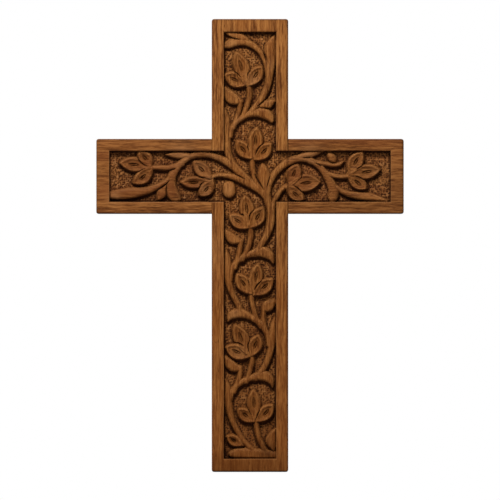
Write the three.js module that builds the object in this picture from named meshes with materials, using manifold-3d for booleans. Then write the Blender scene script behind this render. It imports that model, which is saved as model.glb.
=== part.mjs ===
// A carved wall cross: two boards half-lapped and pegged at the crossing, with a vine carved into a sunk
// panel on the front, and a ring hanger and two bumpers on the back.
// Millimetres. X runs to the viewer's right and Z runs up. The carved front faces -Y and the flat back lies
// in the plane Y = 0. The origin is on the back, at the centre of the crossing.
import * as THREE from 'three';
import { mergeVertices } from 'three/addons/utils/BufferGeometryUtils.js';
import Module from 'manifold-3d';

const wasm = await Module();
wasm.setup();

// Boards
const headLength = 106; // crossing centre to the top
const footLength = 199; // crossing centre to the bottom
const armLength = 103.5; // crossing centre to either side
const uprightWidth = 51.5;
const crossbarWidth = 50.5;
const boardThickness = 19;
const edgeRadius = 0.9; // eased outer edges
const cornerRadius = 1.6; // outer corners, seen from the front
const edgeSteps = 2;

// Half lap at the crossing
const lapThickness = 7; // what is left of the crossbar behind the upright
const seamGap = 0.1; // hairline between the upright and the crossbar's shoulders

// Pegs through the lap
const pegRadius = 3;
const pegCover = 2.8; // wood left between a peg's end and the panel's ground
const pegSpacing = 27;
const pegChamfer = 0.5;
const glueGap = 0.15;

// Sunk panel
const sideRim = 8; // border along the boards' long edges
const endRim = 8.7; // border at the four ends
const panelDepth = 5;

// Carving
const rootDepth = 0.8; // how far each carved form reaches below the ground
const stemHeight = 3.5;
const stemCrown = 0.3; // how far a stem's crest stands above its flanks
const leafHeight = 3.7;
const leafCrest = 0.1;
const petalHeight = 4.4;
const edgeShare = 0.5; // height of a form's edge, as a share of its height
const shoulderShare = 0.58; // where its flank turns over, as a share of its half width
const gougeDepth = 1.5; // the eye cut into a petal
const gougeStart = 0.36; // along the petal
const gougeEnd = 0.74;
const leafLead = 0.9; // below 1, the widest place moves towards the base
const petalLead = 1.15; // and above 1 towards the tip
const leafFullness = 0.7; // below 1, the outline is fuller towards both ends
const leafSteps = 6;
const stemStep = 6; // between sections along a stem
const leastHalfWidth = 0.35;

// Ring hanger
const strapWidth = 9;
const strapSheet = 0.8; // one leaf of the folded strap
const strapRamp = 5; // from the knuckle to where the two leaves meet
const strapMargin = 4.5; // from the lower screw's centre to the strap's end
const hangerDrop = 21; // from the top of the cross to the hinge axis
const wireRadius = 0.9;
const wireGap = 0.3; // between the ring's wire and the knuckle
const ringCorner = 2.2; // bend beside the knuckle
const ringSideGap = 0.8; // between the knuckle's end and the bend
const ringReach = 12; // hinge axis to the wire's centre at the top
const ringLean = 4; // degrees from upright to where the ring rests on the board
const ringShoulder = 0.4; // where the ring's sides start to curve, as a share of its reach
const ringHaunch = 0.77; // how far up from there its sides still run straight on
const ringFullness = 0.55; // how square its top is
const wireSides = 8;
const ringSteps = 32;

// Hanger screws
const screwSpacing = 11;
const upperScrewDrop = 13; // below the hinge axis
const shankRadius = 1.4;
const screwCover = 3.6; // wood left between a screw's point and the panel's ground
const screwPoint = 3;
const screwHeadRadius = 3.1;
const screwHeadHeight = 1.7;
const screwHeadDome = [[1, 0.35], [0.72, 0.86], [0, 1]]; // shares of its radius and height
const driveWidth = 0.8;
const driveLength = 3.6;
const driveDepth = 1;

// Bumpers
const bumperRadius = 5;
const bumperFlatRadius = 3.2;
const bumperSide = [[1, 0.3], [0.9, 0.68]]; // shares of its radius and height
const bumperInset = 10.25; // centre from the upright's side
const bumperRise = 14; // centre above the cross's foot

const roundSides = 24;
const holeOverrun = 1; // how far a cutting tool runs past a face

// What the sizes above settle
const uprightHalf = uprightWidth / 2;
const crossbarHalf = crossbarWidth / 2;
const groundY = -boardThickness + panelDepth;
const pegTipY = groundY + pegCover;
const knuckleRadius = wireRadius + wireGap + strapSheet;
const hingeY = knuckleRadius;
const hingeHeight = headLength - hangerDrop;
const strapFaceY = 2 * strapSheet;
const strapLength = upperScrewDrop + screwSpacing + strapMargin; // below the hinge axis
const ringHalfWidth = strapWidth / 2 + ringSideGap + ringCorner; // wire centre to wire centre, halved
const screwTipY = groundY + screwCover;
const bumperPlaces = [-uprightHalf + bumperInset, uprightHalf - bumperInset];
// Level with the hanger's knuckle, so that the cross hangs parallel to the wall
const bumperHeight = 2 * knuckleRadius;
const panelSide = uprightHalf - sideRim;
const panelBand = crossbarHalf - sideRim;
const panelArm = armLength - endRim;
const panelHead = headLength - endRim;
const panelFoot = footLength - endRim;

// The carving is drawn for this panel, and follows the real one
const drawn = { side: 17.75, band: 17.25, arm: 94.8, head: 97.3, foot: 190.3 };

// Stems, each a run of [x, z, width]
const stems = [
  // foot, up to the lowest flower
  [[6, -186, 3], [0, -182, 3.2], [-5, -177, 3.2], [-9, -171, 3.2], [-12, -164.5, 3.4], [-14, -157, 4.2],
    [-14.8, -150, 4.6], [-14.8, -145, 4.2], [-15.6, -140.5, 2.6], [-16.6, -137, 0.8]],
  [[-13.6, -151, 3], [-12.2, -146, 3.2], [-9.6, -142, 3.4], [-5.6, -138.8, 3.6], [-1, -136.6, 3.8],
    [3.6, -135.2, 4.6], [7.6, -134.5, 6.2], [10.8, -135, 6.6], [13.3, -136.9, 5], [14.7, -139.4, 2.6],
    [15.3, -142, 0.8]],
  [[-15, -187, 4.4], [-9.5, -186.2, 7.4], [0, -186.2, 7.8], [10, -186.6, 7.2], [17.4, -187.4, 6]],
  [[14.5, -188, 3.2], [11, -184.5, 2.9], [8.2, -180.5, 2.8], [6.3, -176, 2.8], [5.2, -171, 2.7],
    [4, -163, 2.6]],
  // between the lowest flower and the next
  [[-11.8, -145, 3], [-10, -140, 3], [-8.3, -136, 2.8], [-7.6, -132, 2.8], [-7.8, -129, 3]],
  [[-3.5, -138.5, 3], [-2, -135, 2.7], [-0.6, -130, 2.6], [0.4, -125.5, 2.6], [0.8, -120, 2.6]],
  [[3, -136, 3], [5.6, -132.5, 3.2], [8.6, -128.8, 3.4], [11, -124, 3.6], [12.8, -118, 4],
    [13.8, -112, 4.6], [14.6, -106, 4.6], [15.2, -100, 3.4], [15.8, -95, 0.8]],
  [[12.4, -114, 3], [11.6, -108.5, 3.2], [9.8, -103.5, 3.4], [7.2, -99.6, 3.6], [3.8, -96.6, 3.6],
    [0, -94.2, 3.8], [-4.5, -92.4, 5.4], [-9, -92.2, 6.3], [-12.2, -93.1, 5.6], [-14, -94.7, 3.4],
    [-15, -97.2, 0.8]],
  // between the second flower and the third
  [[7.5, -101.5, 3], [5.2, -97.5, 2.8], [3.8, -93, 2.7], [2.6, -88, 2.7], [1.6, -83, 2.7], [1.2, -78, 2.6]],
  [[9.4, -102.5, 2.8], [8.6, -98, 2.6], [8.7, -93, 2.4], [9, -89, 2.6]],
  [[-6.6, -92, 3.4], [-7.8, -87.5, 3.4], [-10, -83, 3.3], [-12.4, -78, 3.5], [-14.2, -72, 4.2],
    [-15, -66, 4.8], [-15.2, -60, 4.8], [-15.4, -55, 3.6], [-16.2, -50, 0.8]],
  [[-13.2, -70, 2.6], [-12.6, -65, 2.8], [-10.8, -60.2, 3.2], [-7.4, -56.6, 3.4], [-3, -53.8, 3.6],
    [1.5, -51.8, 4.4], [6, -50.8, 6.2], [10, -51.4, 7], [13, -53.3, 5.6], [14.8, -55.9, 3],
    [15.6, -58.6, 0.8]],
  // between the third flower and the fourth
  [[-11.4, -61.5, 2.8], [-10, -57.5, 2.8], [-8.8, -53, 2.6], [-7.8, -48, 2.6], [-7, -43.5, 2.8]],
  [[-6.5, -55.8, 3], [-4.4, -52, 2.9], [-2.2, -47.5, 2.8], [-0.8, -43, 2.8], [0, -38.5, 2.8],
    [0.2, -33, 2.6]],
  [[3, -52.5, 3], [5.2, -48, 3.2], [8, -43.6, 3.6], [10.8, -39, 4], [13, -33.5, 4.8], [13.9, -28, 5],
    [13.6, -22.5, 4.8], [12.2, -17, 4.6], [11, -12, 4.8], [10.4, -8, 4]],
  // from the crossing into the left arm
  [[11.4, -15, 4], [7.4, -10.4, 4.4], [2.6, -6.8, 4.8], [-3, -3.8, 4.8], [-9, -1.2, 4.2], [-15, 0.2, 3],
    [-21, 0.6, 2.6], [-28, -1, 2.6]],
  [[1, -5, 4], [-6, 1.6, 5], [-11, 6.4, 5], [-16, 10, 4.4], [-21.5, 12.6, 4], [-28, 14.6, 4],
    [-35, 14.8, 4.2], [-41, 13.2, 4], [-46, 9.6, 4], [-49.8, 5, 4.6], [-52.6, -0.5, 5.4],
    [-53.2, -6.5, 6], [-52.4, -11.5, 8], [-51.6, -16.2, 10.4]],
  [[-45.5, 8.8, 3.4], [-50, 7.6, 3.4], [-55.5, 6.6, 3.2], [-61, 6.6, 3], [-68, 6.4, 2.8]],
  [[-54, -1, 3], [-58.5, -4, 3.2], [-64, -7.2, 3.8], [-70.5, -9.8, 5], [-78, -11.2, 6.6], [-85.5, -12, 7],
    [-91.5, -12.6, 5.6], [-95.5, -13.4, 3]],
  [[-14.1, -7.5, 8], [-14.1, -10.4, 8.2]], // bud below the left arm
  // from the crossing into the right arm
  [[14.8, -26, 3], [15.8, -20.5, 3], [17.4, -15.5, 3], [20, -10.8, 2.8], [23.5, -7.5, 2.8],
    [28, -5.4, 2.8]],
  [[11.5, -12, 4], [12.8, -6, 3.6], [15.2, -0.8, 3.8], [18.8, 4, 4], [23.4, 8, 4.6], [28.6, 11.2, 4.8],
    [34, 12.2, 4.4], [39.5, 10.8, 4], [44, 8, 3.6], [48, 3.8, 3.8], [51.4, -0.8, 4.6], [54.6, -5.5, 5.6],
    [56, -10, 6], [55.9, -13.4, 6.4], [55.6, -16.4, 4]],
  [[40, 10.4, 3], [45.5, 9.9, 2.8], [51, 9, 2.8], [56.5, 8.2, 2.9], [60.5, 8.6, 2.4], [63.2, 10.6, 0.8]],
  [[49.5, 3.6, 3], [54, 1.9, 2.9], [59.5, 0.8, 2.8], [64, 0.7, 2.7], [69, 1.6, 2.7]],
  [[58.5, -7.5, 2.6], [62, -10.2, 3], [67, -12.2, 3.8], [74, -13.4, 4.8], [81, -13.9, 5.4], [88, -14.2, 5],
    [93, -14.6, 3.2], [95.4, -15, 1.6]],
  // from the crossing into the head
  [[10.5, -12.5, 3.6], [7, -7.4, 3.4], [4.2, -2.6, 3.2], [2.6, 2.4, 2.9], [1.9, 7.4, 2.8], [1.9, 14, 2.8]],
  [[-8.5, 4, 4], [-12, 9.6, 3.6], [-14.6, 15, 4], [-15.6, 21, 4.8], [-15.6, 27, 5], [-15.8, 33, 4.8],
    [-16.2, 39, 3.6], [-17.2, 45.5, 0.8]],
  [[-13.6, 27, 2.6], [-12.8, 32, 2.8], [-10.4, 36.6, 3.2], [-6.6, 40, 3.4], [-2, 42, 3.8], [2.6, 42.8, 4.8],
    [6.8, 42.6, 6.2], [10.4, 41.8, 6.8], [13, 40, 5.6], [14.7, 37.4, 3]],
  [[-12.4, 33, 2.6], [-11, 37.5, 2.6], [-9.4, 42, 2.6], [-8.3, 46.5, 2.6], [-7.6, 50.5, 2.8]],
  [[-6.8, 40, 3], [-5, 44.5, 2.9], [-3.2, 49.5, 2.8], [-1.9, 54.5, 2.8], [-1.6, 59, 2.8],
    [-1.8, 63.5, 2.6]],
  [[0.5, 42.5, 3.4], [3.8, 46.6, 3.6], [7.2, 51, 3.8], [10, 56.2, 4], [12.2, 62, 4.2], [13.3, 68, 4.4],
    [13.7, 74, 4.6], [13.7, 79, 4.8], [13, 84, 6.6], [13, 88, 6.6], [14.2, 91.6, 4.2], [15.8, 95.4, 0.8]],
  [[11.8, 66, 2], [11.5, 71, 2.8], [10.9, 75.6, 2.9], [9.1, 80.4, 3], [6.3, 84.6, 3.3], [2.6, 88, 3.7],
    [-1.8, 90, 4.2], [-6.5, 90.8, 5], [-10.6, 90.3, 5.5], [-14, 89.3, 5.4], [-16.6, 88.4, 3.2]],
];

// Leaves, each [base x, base z, tip x, tip z, width, bend to the left of the way it points]
const leaves = [
  [15.6, -185, 16.8, -169.5, 6.6, 2.4], // foot, right
  [-6.2, -130.5, -17, -121, 6.6, 2.2],
  [8.4, -90.6, 17.2, -83.6, 7.2, 0],
  [-6.2, -43.8, -16.9, -35.4, 6.6, 2.2],
  [9.6, -9.8, 8.6, 8.6, 7.8, -0.4], // between the stems at the crossing
  [-39, 13.8, -58, 14.6, 4.8, 0],
  [-56.4, -5, -62.8, -16, 6.4, 0],
  [29, 12, 48, 17, 5, 0.6],
  [57.6, 9.4, 52.8, 16.4, 5.2, 0], // curled tip of the right arm's stem
  [6.4, 47, 17, 50.8, 6, -0.6],
  [-6, 49.6, -17, 59.6, 7.8, 2.2],
  [-1, 91.8, -17.3, 97.2, 5.2, 0.2],
];

// Petals, three to a flower, in the same form
const petals = [
  [3.2, -165, 2.3, -143.6, 9, 0], [4, -165.6, -8.8, -156, 9, 0.5], [4.2, -166, 16.6, -154, 9.4, -0.4],
  [-5, -181, -16, -175.6, 7, 0.4], // leaf beside the foot's mound
  [-2, -121, -10.6, -99.4, 10.4, -0.6], [0.6, -122, 5.8, -106, 9.4, -0.2],
  [0.6, -121, -17.4, -114, 10.8, 0.5],
  [1.4, -79.6, 5.1, -58.8, 9.4, 0], [1.4, -80, -9.9, -65, 10, 0.4], [1.8, -80.6, 15.6, -69.8, 9.6, -0.5],
  [-0.8, -34.4, -3.4, -12.6, 9.8, 0], [-0.2, -35, -15, -25.2, 9.6, 0.5],
  [-0.2, -35.4, 9.7, -20.4, 10.2, -0.5],
  [2.6, 11.4, 4.6, 33.2, 9.8, 0], [2.4, 11.6, -9.8, 24.8, 9.6, 1], [2.2, 10.8, 14.9, 21.9, 9.2, -0.7],
  [-2.8, 60.6, -9.5, 85, 10.6, -0.6], [-1.4, 61.6, -18.6, 68.2, 10.2, 0.5],
  [-1.4, 60.8, 9.1, 75.6, 9.6, -0.2],
  [-25.6, -2, -38.9, 9.8, 9.2, 0.3], [-26, -3.6, -46.4, -4, 8, 0.4], [-25.4, -2, -34.4, -14.4, 9, 0.8],
  [-66.6, 5.4, -75, 16.6, 8.8, -0.8], [-65.6, 6.6, -87.6, 9, 10, 0], [-65.4, 6.8, -78.2, -5, 9.4, 1],
  [25.8, -7.4, 32, 9.2, 9.6, 0.4], [25, -6, 47.4, -3.8, 11, 0], [24.6, -5.6, 36.4, -16, 8.6, -0.8],
  [66.6, 0.6, 75.6, 17, 10, 0.4], [66.4, 1.4, 88.6, 4.2, 10, 0], [65.8, 2.4, 79.2, -9.2, 8.8, -0.8],
];

function solidOf(geometry) {
  const bare = geometry.clone();
  bare.deleteAttribute('normal');
  bare.deleteAttribute('uv');
  const merged = mergeVertices(bare, 1e-4);
  return new wasm.Manifold(new wasm.Mesh({
    numProp: 3,
    vertProperties: new Float32Array(merged.attributes.position.array),
    triVerts: new Uint32Array(merged.index.array),
  }));
}

function geometryOf(solid) {
  const { numProp, vertProperties, triVerts } = solid.getMesh();
  const count = vertProperties.length / numProp;
  const points = new Float32Array(count * 3);
  for (let i = 0; i < count; i++) {
    points.set(vertProperties.subarray(i * numProp, i * numProp + 3), 3 * i);
  }
  const geometry = new THREE.BufferGeometry();
  geometry.setAttribute('position', new THREE.BufferAttribute(points, 3));
  geometry.setIndex(new THREE.BufferAttribute(new Uint32Array(triVerts), 1));
  return geometry;
}

function block(xRange, yRange, zRange) {
  const size = [xRange, yRange, zRange].map(([low, high]) => high - low);
  const middle = [xRange, yRange, zRange].map(([low, high]) => (low + high) / 2);
  return solidOf(new THREE.BoxGeometry(...size).translate(...middle));
}

// A lathe body whose axis runs from (x, 0, z) along +Y; the profile is [radius, y] pairs from axis to axis
function turned(profile, x, z) {
  const points = profile.map(([radius, y]) => new THREE.Vector2(radius, y));
  return solidOf(new THREE.LatheGeometry(points, roundSides).translate(x, 0, z));
}

function rod(radius, fromY, toY, x, z) {
  return turned([[0, fromY], [radius, fromY], [radius, toY], [0, toY]], x, z);
}

// A closed body through rings of points, either capped at both ends or joined end to end
function loft(rings, endless = false) {
  const count = rings[0].length;
  const index = [];
  const last = endless ? rings.length : rings.length - 1;
  for (let i = 0; i < last; i++) {
    const here = i * count;
    const next = ((i + 1) % rings.length) * count;
    for (let j = 0; j < count; j++) {
      const k = (j + 1) % count;
      index.push(here + j, here + k, next + k, here + j, next + k, next + j);
    }
  }
  if (!endless) {
    const end = (rings.length - 1) * count;
    for (let j = 1; j < count - 1; j++) index.push(0, j + 1, j, end, end + j, end + j + 1);
  }
  const places = rings.flat().flatMap((p) => p.toArray());
  const geometry = new THREE.BufferGeometry();
  geometry.setAttribute('position', new THREE.Float32BufferAttribute(places, 3));
  geometry.setIndex(index);
  const solid = solidOf(geometry);
  if (solid.volume() > 0) return solid;
  for (let i = 0; i < index.length; i += 3) [index[i], index[i + 1]] = [index[i + 1], index[i]];
  geometry.setIndex(index);
  return solidOf(geometry);
}

// Where a drawn point of the carving lands on the real panel
function placed(x, z) {
  const across = Math.abs(x) <= drawn.side
    ? (Math.abs(x) * panelSide) / drawn.side
    : panelSide + ((Math.abs(x) - drawn.side) * (panelArm - panelSide)) / (drawn.arm - drawn.side);
  const [reach, far] = z > 0 ? [drawn.head, panelHead] : [drawn.foot, panelFoot];
  const up = Math.abs(z) <= drawn.band
    ? (Math.abs(z) * panelBand) / drawn.band
    : panelBand + ((Math.abs(z) - drawn.band) * (far - panelBand)) / (reach - drawn.band);
  return new THREE.Vector2(Math.sign(x) * across, Math.sign(z) * up);
}

// One section of a carved form, square to its run: flat sides, then a crown that dips in the middle
function section(point, along, halfWidth, height, hollow) {
  const side = new THREE.Vector2(-along.y, along.x);
  const profile = [
    [-1, -rootDepth], [-1, height * edgeShare], [-shoulderShare, height], [0, height - hollow],
    [shoulderShare, height], [1, height * edgeShare], [1, -rootDepth],
  ];
  return profile.map(([across, up]) => {
    const at = point.clone().addScaledVector(side, across * halfWidth);
    return new THREE.Vector3(at.x, groundY - up, at.y);
  });
}

function stem(run) {
  const path = new THREE.CatmullRomCurve3(run.map(([x, z, width]) => {
    const at = placed(x, z);
    return new THREE.Vector3(at.x, width, at.y);
  }), false, 'centripetal');
  const steps = Math.max(2, Math.round(path.getLength() / stemStep));
  const rings = [];
  for (let i = 0; i <= steps; i++) {
    const t = i / steps;
    const point = path.getPointAt(t);
    const way = path.getTangentAt(t);
    const along = new THREE.Vector2(way.x, way.z).normalize();
    const halfWidth = Math.max(point.y / 2, leastHalfWidth);
    const flank = stemHeight - stemCrown;
    rings.push(section(new THREE.Vector2(point.x, point.z), along, halfWidth, flank, -stemCrown));
  }
  return loft(rings);
}

function leaf([baseX, baseZ, tipX, tipZ, width, bend], height, lead, gouged) {
  const base = placed(baseX, baseZ);
  const tip = placed(tipX, tipZ);
  const way = tip.clone().sub(base);
  const left = new THREE.Vector2(-way.y, way.x).normalize();
  const middle = base.clone().lerp(tip, 0.5).addScaledVector(left, 2 * bend);
  const spine = new THREE.QuadraticBezierCurve(base, middle, tip);
  const rings = [];
  for (let i = 0; i <= leafSteps; i++) {
    const t = i / leafSteps;
    const swell = Math.sin(Math.PI * t ** lead) ** leafFullness;
    const halfWidth = Math.max((width / 2) * swell, leastHalfWidth);
    const inEye = gouged && t > gougeStart && t < gougeEnd;
    const hollow = inEye ? gougeDepth : -leafCrest;
    rings.push(section(spine.getPoint(t), spine.getTangent(t), halfWidth, height, hollow));
  }
  return loft(rings);
}

function vine() {
  const forms = [
    ...stems.map(stem),
    ...leaves.map((form) => leaf(form, leafHeight, leafLead, false)),
    ...petals.map((form) => leaf(form, petalHeight, petalLead, true)),
  ];
  return wasm.Manifold.union(forms);
}

// The cross's plan, with its eight outer corners rounded
function outline(side, band, arm, head, foot, rounding) {
  const shape = new THREE.Shape();
  const ends = [
    [[side, -band], [arm, -band], [arm, band], [side, band]],
    [[side, band], [side, head], [-side, head], [-side, band]],
    [[-side, band], [-arm, band], [-arm, -band], [-side, -band]],
    [[-side, -band], [-side, -foot], [side, -foot], [side, -band]],
  ].map((points) => points.map(([x, z]) => new THREE.Vector2(x, z)));
  shape.moveTo(side, -band);
  for (const [from, first, second, to] of ends) {
    roundCorner(shape, from, first, second, rounding);
    roundCorner(shape, first, second, to, rounding);
    shape.lineTo(to.x, to.y);
  }
  return shape;
}

function roundCorner(shape, from, corner, to, rounding) {
  const start = corner.clone().add(from.clone().sub(corner).setLength(rounding));
  const end = corner.clone().add(to.clone().sub(corner).setLength(rounding));
  shape.lineTo(start.x, start.y);
  if (rounding > 0) shape.quadraticCurveTo(corner.x, corner.y, end.x, end.y);
}

// A shape drawn in X and Z, extruded from its front face at frontY
function slab(shape, frontY, options) {
  const geometry = new THREE.ExtrudeGeometry(shape, options);
  return solidOf(geometry.rotateX(Math.PI / 2).translate(0, frontY, 0));
}

// The whole cross before it is parted into two boards: blank, less the ground around the vine
function carvedCross() {
  const plan = outline(uprightHalf, crossbarHalf, armLength, headLength, footLength, cornerRadius);
  const blank = slab(plan, -edgeRadius, {
    depth: boardThickness - 2 * edgeRadius,
    curveSegments: 3,
    bevelSize: edgeRadius,
    bevelThickness: edgeRadius,
    bevelOffset: -edgeRadius,
    bevelSegments: edgeSteps,
  });
  const panel = slab(
    outline(panelSide, panelBand, panelArm, panelHead, panelFoot, 0),
    groundY,
    { depth: panelDepth + holeOverrun, bevelEnabled: false },
  );
  return blank.subtract(panel.subtract(vine()));
}

const pegPlaces = [-pegSpacing / 2, pegSpacing / 2];
const screwHeights = [hingeHeight - upperScrewDrop, hingeHeight - upperScrewDrop - screwSpacing];

function pegHoles() {
  const radius = pegRadius + glueGap;
  return wasm.Manifold.union(pegPlaces.map((x) => rod(radius, pegTipY - glueGap, holeOverrun, x, 0)));
}

function pilotHoles() {
  const radius = shankRadius + glueGap;
  return wasm.Manifold.union(screwHeights.map((z) => rod(radius, screwTipY - glueGap, holeOverrun, 0, z)));
}

function uprightAndCrossbar() {
  const whole = carvedCross();
  const depth = [-boardThickness - holeOverrun, holeOverrun];
  const lap = [-lapThickness, holeOverrun];
  const column = block([-uprightHalf, uprightHalf], depth, [-footLength, headLength]);
  const notch = block(
    [-uprightHalf - holeOverrun, uprightHalf + holeOverrun], lap,
    [-crossbarHalf - seamGap, crossbarHalf + seamGap],
  );
  const tongue = block([-armLength, armLength], lap, [-crossbarHalf, crossbarHalf]);
  const shoulder = uprightHalf + seamGap;
  const arms = [[-armLength, -shoulder], [shoulder, armLength]].map((span) => (
    block(span, depth, [-crossbarHalf, crossbarHalf])
  ));
  return {
    upright: whole.intersect(column).subtract(notch).subtract(pegHoles()).subtract(pilotHoles()),
    crossbar: whole.intersect(wasm.Manifold.union([tongue, ...arms])).subtract(pegHoles()),
  };
}

function peg(x) {
  return turned([
    [0, pegTipY], [pegRadius - pegChamfer, pegTipY], [pegRadius, pegTipY + pegChamfer],
    [pegRadius, 0], [0, 0],
  ], x, 0);
}

// One strip folded round the ring's bar: a knuckle with a bore, then two leaves pressed together
function hangerStrap() {
  const shape = new THREE.Shape();
  const end = hingeHeight - strapLength;
  shape.moveTo(0, end);
  shape.lineTo(strapFaceY, end);
  shape.lineTo(strapFaceY, hingeHeight - strapRamp);
  shape.lineTo(hingeY + knuckleRadius, hingeHeight);
  shape.absarc(hingeY, hingeHeight, knuckleRadius, 0, Math.PI, false);
  const bore = new THREE.Path();
  bore.absarc(hingeY, hingeHeight, wireRadius + wireGap, 0, 2 * Math.PI, true);
  shape.holes.push(bore);
  const geometry = new THREE.ExtrudeGeometry(shape, {
    depth: strapWidth,
    bevelEnabled: false,
    curveSegments: roundSides / 2,
  });
  // The shape's own X is the part's Y, its own Y is the part's Z, and it is extruded along the part's X
  const turn = new THREE.Matrix4().set(0, 0, 1, -strapWidth / 2, 1, 0, 0, 0, 0, 1, 0, 0, 0, 0, 0, 1);
  const radius = shankRadius + glueGap;
  const holes = screwHeights.map((z) => rod(radius, -holeOverrun, strapFaceY + holeOverrun, 0, z));
  return solidOf(geometry.applyMatrix4(turn)).subtract(wasm.Manifold.union(holes));
}

// The ring's centre line, drawn upright from the middle of its bar
function ringBow() {
  const at = (x, z) => new THREE.Vector3(x, 0, z);
  const half = ringHalfWidth;
  const crown = half * ringFullness;
  const shoulder = ringReach * ringShoulder;
  const haunch = shoulder + (ringReach - shoulder) * ringHaunch;
  const bow = new THREE.CurvePath();
  bow.add(new THREE.LineCurve3(at(-half + ringCorner, 0), at(half - ringCorner, 0)));
  bow.add(new THREE.QuadraticBezierCurve3(at(half - ringCorner, 0), at(half, 0), at(half, ringCorner)));
  bow.add(new THREE.LineCurve3(at(half, ringCorner), at(half, shoulder)));
  bow.add(new THREE.CubicBezierCurve3(
    at(half, shoulder), at(half, haunch), at(crown, ringReach), at(0, ringReach),
  ));
  bow.add(new THREE.CubicBezierCurve3(
    at(0, ringReach), at(-crown, ringReach), at(-half, haunch), at(-half, shoulder),
  ));
  bow.add(new THREE.LineCurve3(at(-half, shoulder), at(-half, ringCorner)));
  bow.add(new THREE.QuadraticBezierCurve3(at(-half, ringCorner), at(-half, 0), at(-half + ringCorner, 0)));
  return bow;
}

// A D of wire that leans back against the board
function hangerRing() {
  const bow = ringBow();
  const rings = [];
  for (let i = 0; i < ringSteps; i++) {
    const point = bow.getPointAt(i / ringSteps);
    const way = bow.getTangentAt(i / ringSteps);
    const outward = new THREE.Vector3(way.z, 0, -way.x);
    const ring = [];
    for (let j = 0; j < wireSides; j++) {
      const turn = (2 * Math.PI * j) / wireSides;
      const spoke = outward.clone().multiplyScalar(Math.cos(turn));
      spoke.y = Math.sin(turn);
      ring.push(point.clone().addScaledVector(spoke, wireRadius));
    }
    rings.push(ring);
  }
  return loft(rings, true)
    .rotate([ringLean, 0, 0])
    .translate([0, hingeY, hingeHeight]);
}

function hangerScrew(z) {
  const headTop = strapFaceY + screwHeadHeight;
  const body = turned([
    [0, screwTipY], [shankRadius, screwTipY + screwPoint],
    [shankRadius, strapFaceY], [screwHeadRadius, strapFaceY],
    ...screwHeadDome.map(([out, up]) => [screwHeadRadius * out, strapFaceY + screwHeadHeight * up]),
  ], 0, z);
  const depth = [headTop - driveDepth, headTop + holeOverrun];
  const long = [-driveLength / 2, driveLength / 2];
  const short = [-driveWidth / 2, driveWidth / 2];
  const zLong = long.map((d) => z + d);
  const zShort = short.map((d) => z + d);
  return body.subtract(block(long, depth, zShort)).subtract(block(short, depth, zLong));
}

function bumper(x) {
  return turned([
    [0, 0], [bumperRadius, 0],
    ...bumperSide.map(([out, up]) => [bumperRadius * out, bumperHeight * up]),
    [bumperFlatRadius, bumperHeight], [0, bumperHeight],
  ], x, bumperRise - footLength);
}

function finish(color, roughness, metalness) {
  return new THREE.MeshStandardMaterial({ color, roughness, metalness });
}

const uprightWood = finish(0x8a5a2e, 0.62, 0);
const crossbarWood = finish(0x82522a, 0.62, 0);
const pegWood = finish(0xa9743f, 0.7, 0);
const zincSteel = finish(0xb9b4a6, 0.35, 0.9);
const rubber = finish(0x2a2522, 0.85, 0);

const cross = new THREE.Group();

function add(name, solid, material) {
  const mesh = new THREE.Mesh(geometryOf(solid), material);
  mesh.name = name;
  cross.add(mesh);
}

const boards = uprightAndCrossbar();
add('upright', boards.upright, uprightWood);
add('crossbar', boards.crossbar, crossbarWood);
pegPlaces.forEach((x, i) => add(`lap_peg_${i + 1}`, peg(x), pegWood));
add('hanger_strap', hangerStrap(), zincSteel);
add('hanger_ring', hangerRing(), zincSteel);
screwHeights.forEach((z, i) => add(`hanger_screw_${i + 1}`, hangerScrew(z), zincSteel));
['bumper_left', 'bumper_right'].forEach((name, i) => add(name, bumper(bumperPlaces[i]), rubber));

export default cross;
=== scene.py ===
"""The looks of a carved wooden wall cross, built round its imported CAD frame.

Two half-lapped boards carry a vine carved into a sunk panel. A ring hanger and two bumpers are on the back.
Lengths are in millimetres, as the object was measured, and turn into metres where a mesh is made. X runs to
the right, Z up, the carved front faces -Y, and the origin is on the flat back at the crossing's centre.
"""

import math

import bmesh
import bpy
import numpy as np
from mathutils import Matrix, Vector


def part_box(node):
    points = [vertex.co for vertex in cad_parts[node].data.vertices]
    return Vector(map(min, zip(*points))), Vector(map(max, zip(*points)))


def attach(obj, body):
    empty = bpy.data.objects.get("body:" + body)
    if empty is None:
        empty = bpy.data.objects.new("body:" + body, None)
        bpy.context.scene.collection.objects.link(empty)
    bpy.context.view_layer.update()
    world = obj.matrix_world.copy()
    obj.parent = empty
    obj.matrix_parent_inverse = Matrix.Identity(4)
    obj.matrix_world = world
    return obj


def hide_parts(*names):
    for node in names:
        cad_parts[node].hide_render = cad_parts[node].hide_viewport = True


MM = 0.001

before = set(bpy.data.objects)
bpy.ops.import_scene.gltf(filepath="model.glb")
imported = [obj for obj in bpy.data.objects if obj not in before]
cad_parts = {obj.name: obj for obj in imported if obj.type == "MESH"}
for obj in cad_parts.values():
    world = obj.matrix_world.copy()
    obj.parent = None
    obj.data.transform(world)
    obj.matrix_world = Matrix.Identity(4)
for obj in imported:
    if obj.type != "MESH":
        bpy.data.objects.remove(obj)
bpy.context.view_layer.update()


def node_box(name):
    """Lowest and highest corner of a CAD node, in millimetres."""
    low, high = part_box(name)
    return np.array(low) / MM, np.array(high) / MM


# Boards, from the frame
upright_low, (SIDE, _, HEAD) = node_box("upright")
_, (ARM, _, BAND) = node_box("crossbar")
FOOT, THICKNESS = -upright_low[2], -upright_low[1]

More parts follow.
